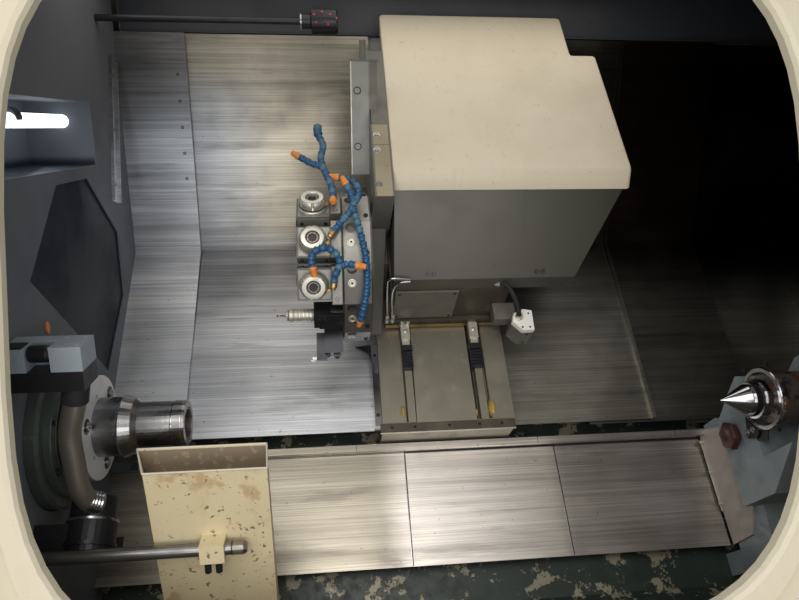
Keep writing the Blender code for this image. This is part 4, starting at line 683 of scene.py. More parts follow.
def smooth_path(points, step):
    """Even points on a smooth curve through the given ones."""
    points = [Vector(point) for point in points]
    ends = [points[0] * 2 - points[1]] + points + [points[-1] * 2 - points[-2]]
    line = []
    for before, start, end, after in zip(ends, ends[1:], ends[2:], ends[3:]):
        count = max(2, round((end - start).length / step))
        for index in range(count):
            t = index / count
            line.append(0.5 * (2 * start + (end - before) * t
                               + (2 * before - 5 * start + 4 * end - after) * t * t
                               + (3 * start - before - 3 * end + after) * t * t * t))
    line.append(points[-1])
    return line


def solid_round(low, high, radius):
    return [(low, 0), (low, radius), (high, radius), (high, 0)]


def hollow_round(low, high, inner, outer):
    return [(low, inner), (low, outer), (high, outer), (high, inner), (low, inner)]


def cap_screw(piece, place, radius, height, washer=0.0):
    """A socket head screw that stands on a face; place has X pointing out of the face."""
    if washer:
        piece.lathe(place, [(0, 0), (0, radius * 1.7), (washer, radius * 1.65), (washer, 0)], 20)
    base = washer * 0.9
    top = base + height
    socket = base + height * 0.45
    piece.lathe(place, [(base, 0), (base, radius), (base + height * 0.85, radius), (top, radius * 0.9),
                        (top, radius * 0.55), (socket, radius * 0.5), (socket, 0)], 16)


def flat_screw(piece, place, radius, height=0.0008):
    """A low domed screw with a socket."""
    piece.lathe(place, [(-height, 0), (-height, radius), (0, radius), (height, radius * 0.75),
                        (height, radius * 0.42), (0, radius * 0.36), (0, 0)], 14)


def hex_bolt(piece, place, radius, height):
    piece.lathe(place, solid_round(0, height * 0.2, radius * 1.5), 20)
    piece.lathe(place, [(height * 0.18, 0), (height * 0.18, radius), (height * 0.9, radius),
                        (height, radius * 0.85), (height, 0)], 6)


# Turret cover and its housing

LID_LEFT, LID_RIGHT, LID_NOTCH = 0.6458, 1.24, 1.169
LID_FRONT, LID_SHOULDER, LID_REAR = 0.537, 0.95, 1.11
LID_CENTRE = (0.94, 0.82)
LID_FACE = 0.2
SKIRT = 0.0354


def turret_cover():
    """A sheet lid with rolled edges: an L-shaped sloping top over an upright skirt, open below."""
    plan = [(LID_LEFT, LID_FRONT), (LID_RIGHT, LID_FRONT), (LID_RIGHT, LID_SHOULDER),
            (LID_NOTCH, LID_SHOULDER), (LID_NOTCH, LID_REAR), (LID_LEFT, LID_REAR)]
    centre = Vector(LID_CENTRE)

    def ring(inset, depth):
        made = []
        for x, u in rounded_outline(plan, 0.01, 5):
            way = (centre - Vector((x, u)))
            x_in = x + math.copysign(min(inset, abs(way.x)), way.x)
            u_in = u + math.copysign(min(inset, abs(way.y)), way.y)
            made.append((x_in, u_in - depth, LID_FACE - depth))
        return made

    lid = Piece("turret_lid", "cross_carriage", "lid")
    edge = [(0.006, 0.0), (0.0028, 0.0004), (0.0009, 0.0018), (0.0, 0.0045), (0.0, SKIRT - 0.001),
            (0.0008, SKIRT), (0.0022, SKIRT), (0.003, SKIRT - 0.001), (0.003, 0.004), (0.008, 0.003)]
    lid.rings(SLOPE, [ring(inset, depth) for inset, depth in edge])
    made = lid.finished(angle=60)
    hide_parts("turret_cover")


def housing_trim():
    """Pairs of dark screws in the upright front of the drive's housing."""
    trim = Piece("housing_screws", "cross_carriage", "steel_screw")
    for x, z in ((0.7341, 0.2508), (0.7493, 0.2508), (1.014, 0.2525), (1.0297, 0.2525)):
        cap_screw(trim, at(SPINDLE, x, 0.2424, z + 0.012) @ FORWARD, 0.0048, 0.0035, 0.0008)
    trim.finished()


turret_cover()
housing_trim()


# Linings of the upper work space


def linings():
    """Dark sheets that close the work space high up and at the back."""
    upper = Piece("upper_wall", "machine", "dark_wall")
    upper.block(SPINDLE, (-0.082, 1.966), (0.718, 0.7232), (0.8715, 1.044))
    upper.block(SPINDLE, (-0.082, 1.966), (-0.19, 0.718), (1.044, 1.05))
    upper.block(SPINDLE, (-0.06, 1.95), (0.69, 0.718), (0.8745, 0.8785))
    upper.finished(bevel=0.001)


linings()


# Turret disc, heads and tools


def turret_disc():
    """A pale disc with a small screw in each flat, screws beside it and the raised middle of the face."""
    flat = 0.18
    trim = Piece("disc_trim", "turret", "pale_nut", "black", "machined")
    for index in range(12):
        place = station(15 + 30 * index)
        disc = at(place, 0.5405, 0.0, flat)
        trim.use("pale_nut")
        trim.lathe(disc @ UPWARD, [(-0.001, 0), (-0.001, 0.0105), (0.0012, 0.0105), (0.0018, 0.0095),
                                                 (0.0018, 0.0075), (0.001, 0.0065), (0.001, 0)], 20)
        trim.use("black")
        flat_screw(trim, at(disc, 0, 0, 0.001) @ UPWARD, 0.0028, 0.0008)
        cap_screw(trim, at(place, 0.576, -0.026, flat) @ UPWARD, 0.0052, 0.0035)
        trim.use("machined")
        face = station(30 * index)
        cap_screw(trim, at(face, 0.519, 0.0, 0.12) @ LEFTWARD, 0.006, 0.0045)
    trim.use("machined")
    trim.lathe(TURRET, [(0.507, 0), (0.507, 0.052), (0.51, 0.056), (0.5135, 0.056), (0.5135, 0)], 40)
    trim.finished(bevel=0.0002)


def collet_nut(number, degrees):
    """A spanner nut with six slots round its rim and a slit collet with a dark bore inside."""
    place = at(station(degrees), 0.455, 0, 0.1963) @ UPWARD
    nut = Piece(f"collet_nut_ring_{number}", f"driven_collet_{number}", "pale_nut", "warm_steel", "black")
    sections = []
    sides = 72
    slot_depth = 0.0035
    for x, radius, cut in ((0.0, 0.0285, 0), (0.0015, 0.03, 0), (0.006, 0.03, 1), (0.0125, 0.03, 1),
                           (0.015, 0.0288, 1), (0.019, 0.0252, 0), (0.0193, 0.024, 0), (0.0193, 0.0165, 0),
                           (0.018, 0.015, 0), (0.0085, 0.0135, 0), (0.0085, LEAST_RADIUS, 0)):
        ring = []
        for side in range(sides):
            in_slot = cut and side % 12 in (0, 1)
            size = radius - (slot_depth if in_slot else 0)
            angle = 2 * math.pi * side / sides
            ring.append((x, size * math.cos(angle), size * math.sin(angle)))
        sections.append(ring)
    nut.rings(place, sections)
    nut.use("warm_steel")
    nut.lathe(place, [(0.008, 0), (0.008, 0.0134), (0.015, 0.0128), (0.0158, 0.0122), (0.0158, 0.0098),
                      (0.01, 0.009), (0.01, 0)], 32)
    nut.use("black")
    for index in range(8):
        turn = place @ Matrix.Rotation(math.pi * index / 4, 4, "X")
        nut.block(turn, (0.0148, 0.0161), (0.0094, 0.013), (-0.0005, 0.0005))
    nut.lathe(place, solid_round(0.0098, 0.0104, 0.0088), 24)
    made = nut.finished(angle=30)
    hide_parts(f"collet_nut_{number}")


def head_trim(number, degrees):
    """Pale face plate, collar, seams and screws of one driven head."""
    place = station(degrees)
    face = 0.184
    trim = Piece(f"head_trim_{number}", "turret", "head_plate", "pale_nut", "black", "brass")
    flange = 0.2
    front = rounded_outline(rectangle((0.4215, 0.4935), (-0.0335, 0.0335)), 0.004, 3)
    trim.prism_z(place, front, (face - 0.001, face + 0.0016))
    rear = rounded_outline(rectangle((0.4965, 0.5175), (-0.042, 0.042)), 0.002, 3)
    trim.prism_z(place, rear, (flange - 0.001, flange + 0.0012))
    for y in (-0.03, 0.03):
        cap_screw(trim, at(place, 0.507, y, flange + 0.0012) @ UPWARD, 0.005, 0.003)
    trim.use("pale_nut")
    collar = [(0, 0), (0, 0.033), (0.005, 0.033), (0.0065, 0.0318), (0.0085, 0.03), (0.0085, 0)]
    trim.lathe(at(place, 0.455, 0, face + 0.0016) @ UPWARD, collar, 40)
    for y in (-1, 1):
        trim.use("head_plate")
        trim.prism_y(place, rectangle((0.421, 0.493), (0.154, 0.181)), (y * 0.0358, y * 0.0368))
        trim.use("black")
        for x in (0.43, 0.484):
            cap_screw(trim, at(place, x, y * 0.0366, 0.1675) @ turned_to((0, y, 0)), 0.004, 0.003)
    trim.lathe(at(place, 0.4178, 0, 0.13) @ LEFTWARD,
               [(0, 0), (0, 0.016), (0.003, 0.015), (0.003, 0.008), (0.001, 0.007), (0.001, 0)], 24)
    trim.use("brass")
    for x, y in ((0.502, 0.036), (0.488, -0.01)):
        trim.lathe(at(place, x, y, flange) @ UPWARD,
                   [(0, 0), (0, 0.0042), (0.004, 0.0042), (0.004, 0.0026), (0.001, 0.0022), (0.001, 0)], 12)
    trim.finished(bevel=0.0006)


def touch_probe():
    """The ribbed barrel, its stylus with a ball, and the clamp that holds it."""
    holder = station(-75)
    place = at(holder, 0, 0, 0.165)
    probe = Piece("probe_trim", "turret", "pale_nut", "black", "machined", "red_ball")
    barrel = [(0.4555, 0.0139), (0.45, 0.0139)]
    for index in range(5):
        start = 0.448 - index * 0.0085
        barrel += [(start, 0.015), (start - 0.0052, 0.015), (start - 0.006, 0.0137), (start - 0.008, 0.0137)]
    barrel += [(0.404, 0.0152), (0.396, 0.0154), (0.393, 0.012), (0.3895, 0.0112), (0.3895, 0.0)]
    probe.lathe(place, [(0.4555, 0.0)] + barrel, 28)
    probe.use("machined")
    probe.lathe(place, [(0.39, 0.0), (0.39, 0.003), (0.385, 0.0026), (0.383, 0.0013), (0.37, 0.0013),
                        (0.37, 0.0)], 12)
    probe.use("red_ball")
    turns = [math.pi * step / 8 for step in range(9)]
    ball = [(0.366 + 0.0026 * (1 - math.cos(turn)), 0.0026 * math.sin(turn)) for turn in turns]
    probe.lathe(place, ball, 12)
    probe.use("black")
    probe.lathe(place, [(0.489, 0.0), (0.489, 0.0225), (0.4915, 0.024), (0.518, 0.024), (0.518, 0.0)], 32)
    probe.block(holder, (0.456, 0.486), (0.01, 0.026), (0.176, 0.194))
    probe.block(holder, (0.464, 0.504), (-0.022, 0.022), (0.184, 0.19))
    for x in (0.466, 0.478):
        cap_screw(probe, at(holder, x, 0.018, 0.194) @ UPWARD, 0.0038, 0.0035)
    for x in (0.472, 0.496):
        cap_screw(probe, at(holder, x, -0.012, 0.19) @ UPWARD, 0.0038, 0.003)
    probe.finished(bevel=0.0005)


def tool_block():
    """The turning tool's holder with its clamp wedge, four screws and a tipped shank."""
    place = station(-105)
    block = Piece("tool_block_trim", "turret", "black", "machined", "pale_nut")
    for index in range(4):
        cap_screw(block, at(place, 0.483, -0.0165 + 0.011 * index, 0.222) @ UPWARD, 0.0042, 0.004)
    block.block(place, (0.496, 0.512), (-0.017, 0.009), (0.2215, 0.229))
    block.block(place, (0.474, 0.518), (-0.0235, -0.0218), (0.156, 0.216))
    cap_screw(block, at(place, 0.504, -0.004, 0.229) @ UPWARD, 0.0045, 0.003)
    block.use("machined")
    block.prism_y(place, [(0.443, 0.229), (0.455, 0.229), (0.455, 0.236), (0.446, 0.236)], (-0.0095, 0.0095))
    block.use("pale_nut")
    block.prism_y(place, [(0.44, 0.2375), (0.45, 0.24), (0.45, 0.236), (0.442, 0.235)], (-0.007, 0.007))
    block.finished(bevel=0.0006)


# Segmented coolant hoses

SEGMENT = 0.0165
PALE_SHARE = 0.22
WIDE_GROWTH = 1.25
HOSE_ROUTES = {
    "branch_hose": (
        ((0.502, 0.44, 0.212), (0.501, 0.475, 0.205), (0.492, 0.513, 0.2), (0.48, 0.547, 0.2),
         (0.476, 0.577, 0.2), (0.483, 0.613, 0.2), (0.47, 0.649, 0.2), (0.47, 0.676, 0.2)),
        ((0.482, 0.545, 0.2), (0.457, 0.555, 0.2), (0.439, 0.567, 0.2), (0.426, 0.577, 0.2))),
    "long_hose": (
        ((0.5, 0.35, 0.207), (0.52, 0.374, 0.216), (0.538, 0.396, 0.218), (0.55, 0.428, 0.212),
         (0.562, 0.46, 0.205), (0.556, 0.493, 0.2), (0.538, 0.508, 0.2), (0.516, 0.513, 0.2)),
        ((0.546, 0.41, 0.216), (0.558, 0.356, 0.212), (0.569, 0.315, 0.185), (0.573, 0.275, 0.163),
         (0.571, 0.238, 0.138), (0.564, 0.212, 0.105), (0.558, 0.205, 0.066)),
        ((0.549, 0.425, 0.213), (0.543, 0.455, 0.212), (0.533, 0.479, 0.215))),
    "loop_hose": (
        ((0.499, 0.246, 0.16), (0.503, 0.262, 0.178), (0.515, 0.274, 0.192), (0.506, 0.291, 0.212),
         (0.483, 0.297, 0.226), (0.461, 0.29, 0.226), (0.452, 0.274, 0.218), (0.455, 0.262, 0.204)),
        ((0.513, 0.272, 0.19), (0.53, 0.277, 0.192), (0.548, 0.274, 0.19))),
}
NOZZLE_ENDS = {"branch_hose": (1,), "long_hose": (0, 1, 2), "loop_hose": (0, 1)}
WIDE_ENDS = {"branch_hose": (0,)}


def hose_segment(hose, place, length, grow=1.0):
    """One ball link: a neck, a flared skirt with a rim, and the ball that the next one snaps over."""
    profile = [(0.0, 0.0052), (0.1, 0.0056), (0.18, 0.0072), (0.3, 0.0086), (0.42, 0.009), (0.5, 0.0086),
               (0.54, 0.0079), (0.8, 0.0073), (0.88, 0.008), (0.96, 0.008), (1.0, 0.0064), (1.04, 0.0)]
    profile = [(share * length, radius * grow) for share, radius in profile]
    hose.lathe(place, [(-0.02 * length, 0.0)] + profile, 14)


def nozzle(hose, place):
    """An orange tip: a knurled socket and a cone cut off square, with its bore."""
    hose.lathe(place, [(-0.002, 0.0), (-0.002, 0.0078), (0.0, 0.0086), (0.006, 0.0088), (0.007, 0.0082),
                       (0.02, 0.0062), (0.0215, 0.0062), (0.0215, 0.004), (0.014, 0.0038), (0.014, 0.0)], 18)


def coolant_hose(name):
    """A hose of ball links with its branches, its nozzles and its root."""
    hose = Piece(f"{name}_links", "turret", "blue", "pale_blue", "orange", "brass")
    for number, route in enumerate(HOSE_ROUTES[name]):
        path = smooth_path(route, 0.0015)
        lengths = [0.0]
        for near, far in zip(path, path[1:]):
            lengths.append(lengths[-1] + (far - near).length)
        count = max(1, round(lengths[-1] / SEGMENT))
        step = lengths[-1] / count
        last_place = None
        for index in range(count):
            ends = []
            for reach in (index * step, (index + 1) * step):
                spot = min(range(len(lengths)), key=lambda item: abs(lengths[item] - reach))
                ends.append(path[spot])
            way = (ends[1] - ends[0]).normalized()
            place = at(SLOPE, *ends[0]) @ turned_to(way)
            hose.use("pale_blue" if random.random() < PALE_SHARE else "blue")
            wide = number in WIDE_ENDS.get(name, ()) and index >= count - 2
            hose_segment(hose, place, step, WIDE_GROWTH if wide else 1.0)
            last_place = at(SLOPE, *ends[1]) @ turned_to(way)
        if number in NOZZLE_ENDS[name]:
            hose.use("orange")
            nozzle(hose, last_place)
        if number == 0:
            hose.use("orange" if name == "branch_hose" else "brass")
            root = at(SLOPE, *route[0]) @ turned_to(Vector(route[0]) - Vector(route[1]))
            hose.lathe(root, [(-0.004, 0.0), (-0.004, 0.007), (0.0, 0.0082), (0.007, 0.0086), (0.008, 0.0066),
                              (0.013, 0.0062), (0.013, 0.0)], 16)
    made = hose.finished(angle=40)
    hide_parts(name)


turret_disc()
for number, degrees in enumerate((15, -15, -45), start=1):
    collet_nut(number, degrees)
    head_trim(number, degrees)
touch_probe()
tool_block()
for name in HOSE_ROUTES:
    coolant_hose(name)


# Turret casting, label plate and bracket


def casting_trim():
    """Two pale plates on the head's top, the slots beside them, the flange's holes and the bar above it."""
    trim = Piece("casting_trim", "cross_carriage", "label", "machined", "black", "pale_nut", "cast")
    face = 0.2
    left, right = 0.6035, 0.6415
    low, seam, high = 0.456, 0.6146, 0.681
    for span in ((low, seam - 0.0008), (seam + 0.0008, high)):
        outline = rounded_outline(rectangle((left, right), span), 0.002, 3)
        trim.prism_z(SLOPE, outline, (face - 0.001, face + 0.002))
    trim.use("machined")
    for x, u in ((0.613, 0.646), (0.611, 0.597), (0.611, 0.492)):
        cap_screw(trim, at(SLOPE, x, u, face + 0.002) @ UPWARD, 0.0055, 0.003, 0.001)
    trim.use("black")
    trim.block(SLOPE, (0.6002, 0.603), (0.684, 0.836), (face - 0.004, face + 0.0006))
    for z in (0.7064, 0.5702):
        trim.lathe(at(SPINDLE, 0.57, 0.378, z) @ FORWARD,
                   [(-0.002, 0), (-0.002, 0.0095), (0.0008, 0.0095), (0.0008, 0.0072), (-0.001, 0.0068),
                    (-0.001, 0)], 20)
    trim.use("pale_nut")
    trim.block(SPINDLE, (0.5532, 0.556), (0.3776, 0.4084), (0.5, 0.775))
    trim.use("cast")
    trim.block(SPINDLE, (0.5536, 0.6233), (0.383, 0.395), (0.7755, 0.7815))
    trim.pipe(SPINDLE, [(0.585, 0.389, 0.78), (0.585, 0.389, 0.825)], 0.0085, 16)
    trim.finished(bevel=0.0005)


casting_trim()


# Saddle, cross slide and connection box


def lump(piece, place, x, u, low, high):
    """A rubbed heap with an uneven edge that shrinks upwards."""
    middle = ((x[0] + x[1]) / 2, (u[0] + u[1]) / 2)
    half = ((x[1] - x[0]) / 2, (u[1] - u[0]) / 2)
    edge = [1 + random.uniform(-0.18, 0.08) for _ in range(22)]
    sections = []
    for share, grow in ((0.0, 1.0), (0.45, 0.93), (0.8, 0.72), (1.0, 0.35)):
        sections.append([(middle[0] + half[0] * size * grow * math.cos(math.pi * index / 11),
                          middle[1] + half[1] * size * grow * math.sin(math.pi * index / 11),
                          low + (high - low) * share) for index, size in enumerate(edge)])
    piece.rings(place, sections)


def saddle_trim():
    """The edge strips of the saddle and the grease that the slide leaves on it."""
    deck = -0.261
    trim = Piece("saddle_trim", "carriage", "polished", "black", "grease", "slide", "pale_nut")
    trim.block(SLOPE, (0.5985, 0.6162), (0.06, 0.294), (-0.2965, -0.247))
    trim.use("black")
    for u in (0.09, 0.262):
        flat_screw(trim, at(SLOPE, 0.6074, u, -0.247) @ UPWARD, 0.005, 0.001)
    flap = [(0.5545, 0.2916), (0.6152, 0.2981), (0.6054, 0.226), (0.5903, 0.2688)]
    trim.prism_z(SLOPE, flap, (-0.262, -0.25))
    for x in (0.678, 0.708, 0.871, 0.901):
        trim.block(SLOPE, (x - 0.0016, x + 0.0016), (0.064, 0.345), (deck, -0.245))
    trim.block(SLOPE, (0.7125, 0.86), (0.052, 0.056), (-0.2345, -0.2334))
    trim.use("grease")
    lump(trim, SLOPE, (0.663, 0.683), (0.068, 0.12), deck, -0.236)
    lump(trim, SLOPE, (0.898, 0.929), (0.066, 0.125), deck, -0.2365)
    lump(trim, SLOPE, (0.86, 0.876), (0.07, 0.1), deck, -0.2385)
    for _ in range(9):
        x = random.uniform(0.63, 0.95)
        u = random.uniform(0.062, 0.13)
        length = random.uniform(0.003, 0.008)
        width = random.uniform(0.003, 0.006)
        lump(trim, SLOPE, (x, x + length), (u, u + width), deck, -0.2585)
    trim.use("slide")
    trim.block(SLOPE, (0.6105, 0.966), (0.0362, 0.06), (-0.24, -0.2325))
    trim.use("pale_nut")
    trim.block(SLOPE, (0.6105, 0.966), (0.0345, 0.0361), (-0.2395, -0.233))
    trim.use("black")
    for x in (0.64, 0.7, 0.79, 0.87, 0.93):
        flat_screw(trim, at(SLOPE, x, 0.049, -0.2325) @ UPWARD, 0.004, 0.0008)
    trim.finished(bevel=0.0005)


SLIDE_TUBES = (
    ((0.6877, 0.024), (0.6488, 0.03), (0.6348, 0.024), (0.6329, -0.0062), (0.6426, -0.168)),
    ((0.6888, 0.014), (0.6608, 0.0092), (0.6502, -0.0165), (0.649, -0.0613), (0.6551, -0.163)),
)


def slide_trim():
    """Bearings under the slide's front with dark ridged blocks that are painted shadow in the groove, its
    sheet, the brass wiper's edge and two steel tubes.
    """
    trim = Piece("slide_trim", "cross_carriage", "strip", "pale_nut", "black", "brass", "polished")
    foot = -0.2294
    trim.block(SLOPE, (0.658, 0.8228), (0.3445, 0.3497), (-0.188, -0.052))
    trim.use("pale_nut")
    for left, right in ((0.681, 0.705), (0.8715, 0.896)):
        trim.block(SLOPE, (left, right), (0.29, 0.338), (foot, -0.208))
        trim.block(SLOPE, (left + 0.002, right - 0.002), (0.272, 0.29), (foot, -0.214))
        middle = (left + right) / 2
        trim.lathe(at(SLOPE, middle, 0.314, -0.208) @ UPWARD,
                   [(0, 0), (0, 0.006), (0.003, 0.006), (0.004, 0.0045), (0.004, 0)], 16)
    # painted shadow: dark ridged blocks fill the groove under the slide's front
    trim.use("black")
    for left, right in ((0.6805, 0.7085), (0.867, 0.9)):
        trim.block(SLOPE, (left, right), (0.256, 0.2715), (foot, -0.206))
        for index in range(6):
            near = 0.205 + 0.0085 * index
            trim.block(SLOPE, (left + 0.001, right - 0.001), (near, near + 0.0062), (foot, -0.211))
            trim.block(SLOPE, (left + 0.003, right - 0.003), (near + 0.006, near + 0.0088), (foot, -0.215))
    trim.use("brass")
    trim.block(SLOPE, (0.6405, 0.9495), (0.3366, 0.3384), (-0.2292, -0.212))
    trim.use("black")
    trim.block(SLOPE, (0.6405, 0.9495), (0.336, 0.339), (-0.212, -0.2095))
    for x in (0.655, 0.735, 0.815, 0.895, 0.94):
        flat_screw(trim, at(SLOPE, x, 0.3372, -0.204) @ FORWARD, 0.0036, 0.0012)
    for x, n in ((0.668, -0.062), (0.668, -0.178), (0.813, -0.062), (0.813, -0.178)):
        flat_screw(trim, at(SLOPE, x, 0.3445, n) @ FORWARD, 0.0045, 0.0014)
    trim.use("polished")
    for route in SLIDE_TUBES:
        path = smooth_path([(x, 0.3375, n) for x, n in route], 0.006)
        trim.pipe(SLOPE, path, 0.0032, 12)
    trim.use("pale_nut")
    for x, n in ((0.6426, -0.168), (0.6575, -0.166)):
        nut = at(SLOPE, x, 0.337, n) @ DOWNWARD
        trim.lathe(nut, [(-0.006, 0), (-0.006, 0.0055), (0.006, 0.0062), (0.006, 0)], 6)
        trim.lathe(nut, solid_round(0.006, 0.02, 0.0042), 14)
        trim.lathe(nut, solid_round(0.018, 0.027, 0.0064), 6)
    for x in (0.685, 0.702):
        trim.lathe(at(SLOPE, x, 0.337, -0.196) @ DOWNWARD,
                   [(0, 0), (0, 0.0048), (0.01, 0.006), (0.03, 0.006), (0.032, 0.0045), (0.032, 0)], 8)
    trim.finished(bevel=0.0004)


BOX_PLAN = ((0.969, 0.2984), (0.9954, 0.3102), (1.019, 0.3053), (1.017, 0.248), (0.9858, 0.247),
            (0.962, 0.2738))


def connection_box():
    """The six-sided pale box on the slide's right, its lid, screws, its foot in darker paint that is painted
    shade under the lit top, and the conduit that reaches it.
    """
    box = Piece("connection_box", "cross_carriage", "white", "strip", "black")
    box.prism_z(SLOPE, BOX_PLAN, (-0.108, -0.0925))
    inner = [(x * 0.97 + 0.0297, u * 0.97 + 0.0083) for x, u in BOX_PLAN]
    box.prism_z(SLOPE, inner, (-0.0925, -0.0905))
    # painted shade: the box's lower part and foot in the darker casting paint, under its lit top
    box.use("strip")
    box.prism_z(SLOPE, [(x * 0.985 + 0.0149, u * 0.985 + 0.0042) for x, u in BOX_PLAN], (-0.1745, -0.1078))
    box.block(SLOPE, (0.9252, 0.9848), (0.299, 0.3492), (-0.1598, -0.1252))
    box.use("black")
    for x, n in ((1.002, -0.118), (1.002, -0.164)):
        flat_screw(box, at(SLOPE, x, 0.2478, n) @ FORWARD, 0.004, 0.0016)
    for x, u in ((0.978, 0.288), (1.008, 0.296), (1.006, 0.256), (0.986, 0.256)):
        flat_screw(box, at(SLOPE, x, u, -0.0905) @ UPWARD, 0.003, 0.0004)
    made = box.finished(bevel=0.001)
    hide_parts("junction_box")
    conduit = Piece("box_conduit", "cross_carriage", "rubber", "pale_nut")
    path = smooth_path(((0.92, 0.356, -0.03), (0.9413, 0.3416, -0.02), (0.9583, 0.312, -0.03),
                        (0.972, 0.29, -0.058), (0.979, 0.284, -0.082)), 0.0018)
    radii = [0.0058 + 0.0008 * (index % 2) for index in range(len(path))]
    conduit.pipe(SLOPE, path, radii, 14)
    conduit.use("pale_nut")
    conduit.lathe(at(SLOPE, 0.9795, 0.2835, -0.0905) @ UPWARD,
                  [(0, 0), (0, 0.0105), (0.006, 0.0105), (0.007, 0.009), (0.014, 0.0085), (0.014, 0)], 6)
    conduit.lathe(at(SLOPE, 0.92, 0.356, -0.03) @ turned_to((0.85, -0.5, 0.3)),
                  [(-0.004, 0), (-0.004, 0.01), (0.006, 0.01), (0.01, 0.008), (0.01, 0)], 6)
    conduit.finished(bevel=0.0003)


saddle_trim()
slide_trim()
connection_box()


# Chuck, nose and splash wall


def chuck_trim():
    """Socket screws deep in the chuck's flange, its holes and grooves, and the slit collet in the mouth."""
    bolt_circle, plug_circle = 0.085, 0.072
    washer = [(0.0002, 0.0152), (0.0002, 0.0168), (0.001, 0.0164), (0.001, 0.0152), (0.0002, 0.0152)]
    trim = Piece("chuck_trim", "spindle", "machined", "black", "polished", "warm_steel")
    for degrees in (34, 154, -86):
        spot = at(around(SPINDLE, degrees), 0, bolt_circle, 0)
        trim.use("black")
        trim.lathe(spot, solid_round(-0.001, 0.0006, 0.0152), 28)
        trim.use("polished")
        trim.lathe(spot, washer, 28)
        trim.use("machined")
        cap_screw(trim, at(spot, 0.0004, 0, 0), 0.0102, 0.0055)
        trim.use("black")
        trim.lathe(at(around(SPINDLE, degrees + 60), 0, plug_circle, 0),
                   [(-0.001, 0), (-0.001, 0.0042), (0.0004, 0.0042), (0.0004, 0.0034), (-0.0004, 0.003),
                    (-0.0004, 0)], 16)
    trim.use("polished")
    for x in (0.1535, 0.1715):
        trim.lathe(SPINDLE, hollow_round(x, x + 0.002, 0.049, 0.0509), 72)
    trim.use("warm_steel")
    for index in range(6):
        first = math.radians(60 * index + 3)
        last = math.radians(60 * index + 57)
        outline = arc((0, 0), 0.0352, first, last, 9) + arc((0, 0), 0.0312, last, first, 9)
        trim.prism_x(SPINDLE, outline, (0.135, 0.1792))
    trim.use("black")
    for degrees in (20, 140, 260):
        trim.lathe(at(around(SPINDLE, degrees), 0.04, 0.062, 0) @ BACKWARD,
                   [(-0.002, 0), (-0.002, 0.0048), (0.0006, 0.0048), (0.0006, 0.0036), (-0.001, 0.0034),
                    (-0.001, 0)], 16)
    trim.finished(bevel=0.0003)


def nose_trim():
    """Bolts, seams and a small plate on the headstock's nose."""
    face = -0.0469
    trim = Piece("nose_trim", "machine", "black", "beige", "head_cast")
    hex_bolt(trim, at(SPINDLE, -0.06, -0.152, -0.144), 0.0075, 0.006)
    for degrees in range(15, 360, 45):
        hex_bolt(trim, at(around(SPINDLE, degrees), face, 0.129, 0), 0.0062, 0.0055)
    trim.use("beige")
    trim.prism_x(SPINDLE, rectangle((-0.104, -0.045), (0.15, 0.18)), (-0.0605, -0.0575))
    trim.use("head_cast")
    for inner, outer, height in ((0.136, 0.1415, 0.002), (0.113, 0.118, 0.0016)):
        trim.lathe(SPINDLE, [(-0.0475, inner), (-0.0475, outer), (face + height, outer - 0.001),
                             (face + height, inner + 0.001), (-0.0475, inner)], 72)
    trim.finished(bevel=0.0004)


chuck_trim()
nose_trim()


# Tool setter

SETTER_ROUTE = ((0.0341, -0.1436, -0.0971), (0.0167, -0.1549, -0.081), (0.0079, -0.1662, -0.0454),
                (0.0037, -0.1662, 0.0133), (0.0037, -0.1662, 0.0659), (0.0171, -0.1662, 0.1174),
                (0.0285, -0.1662, 0.1668))


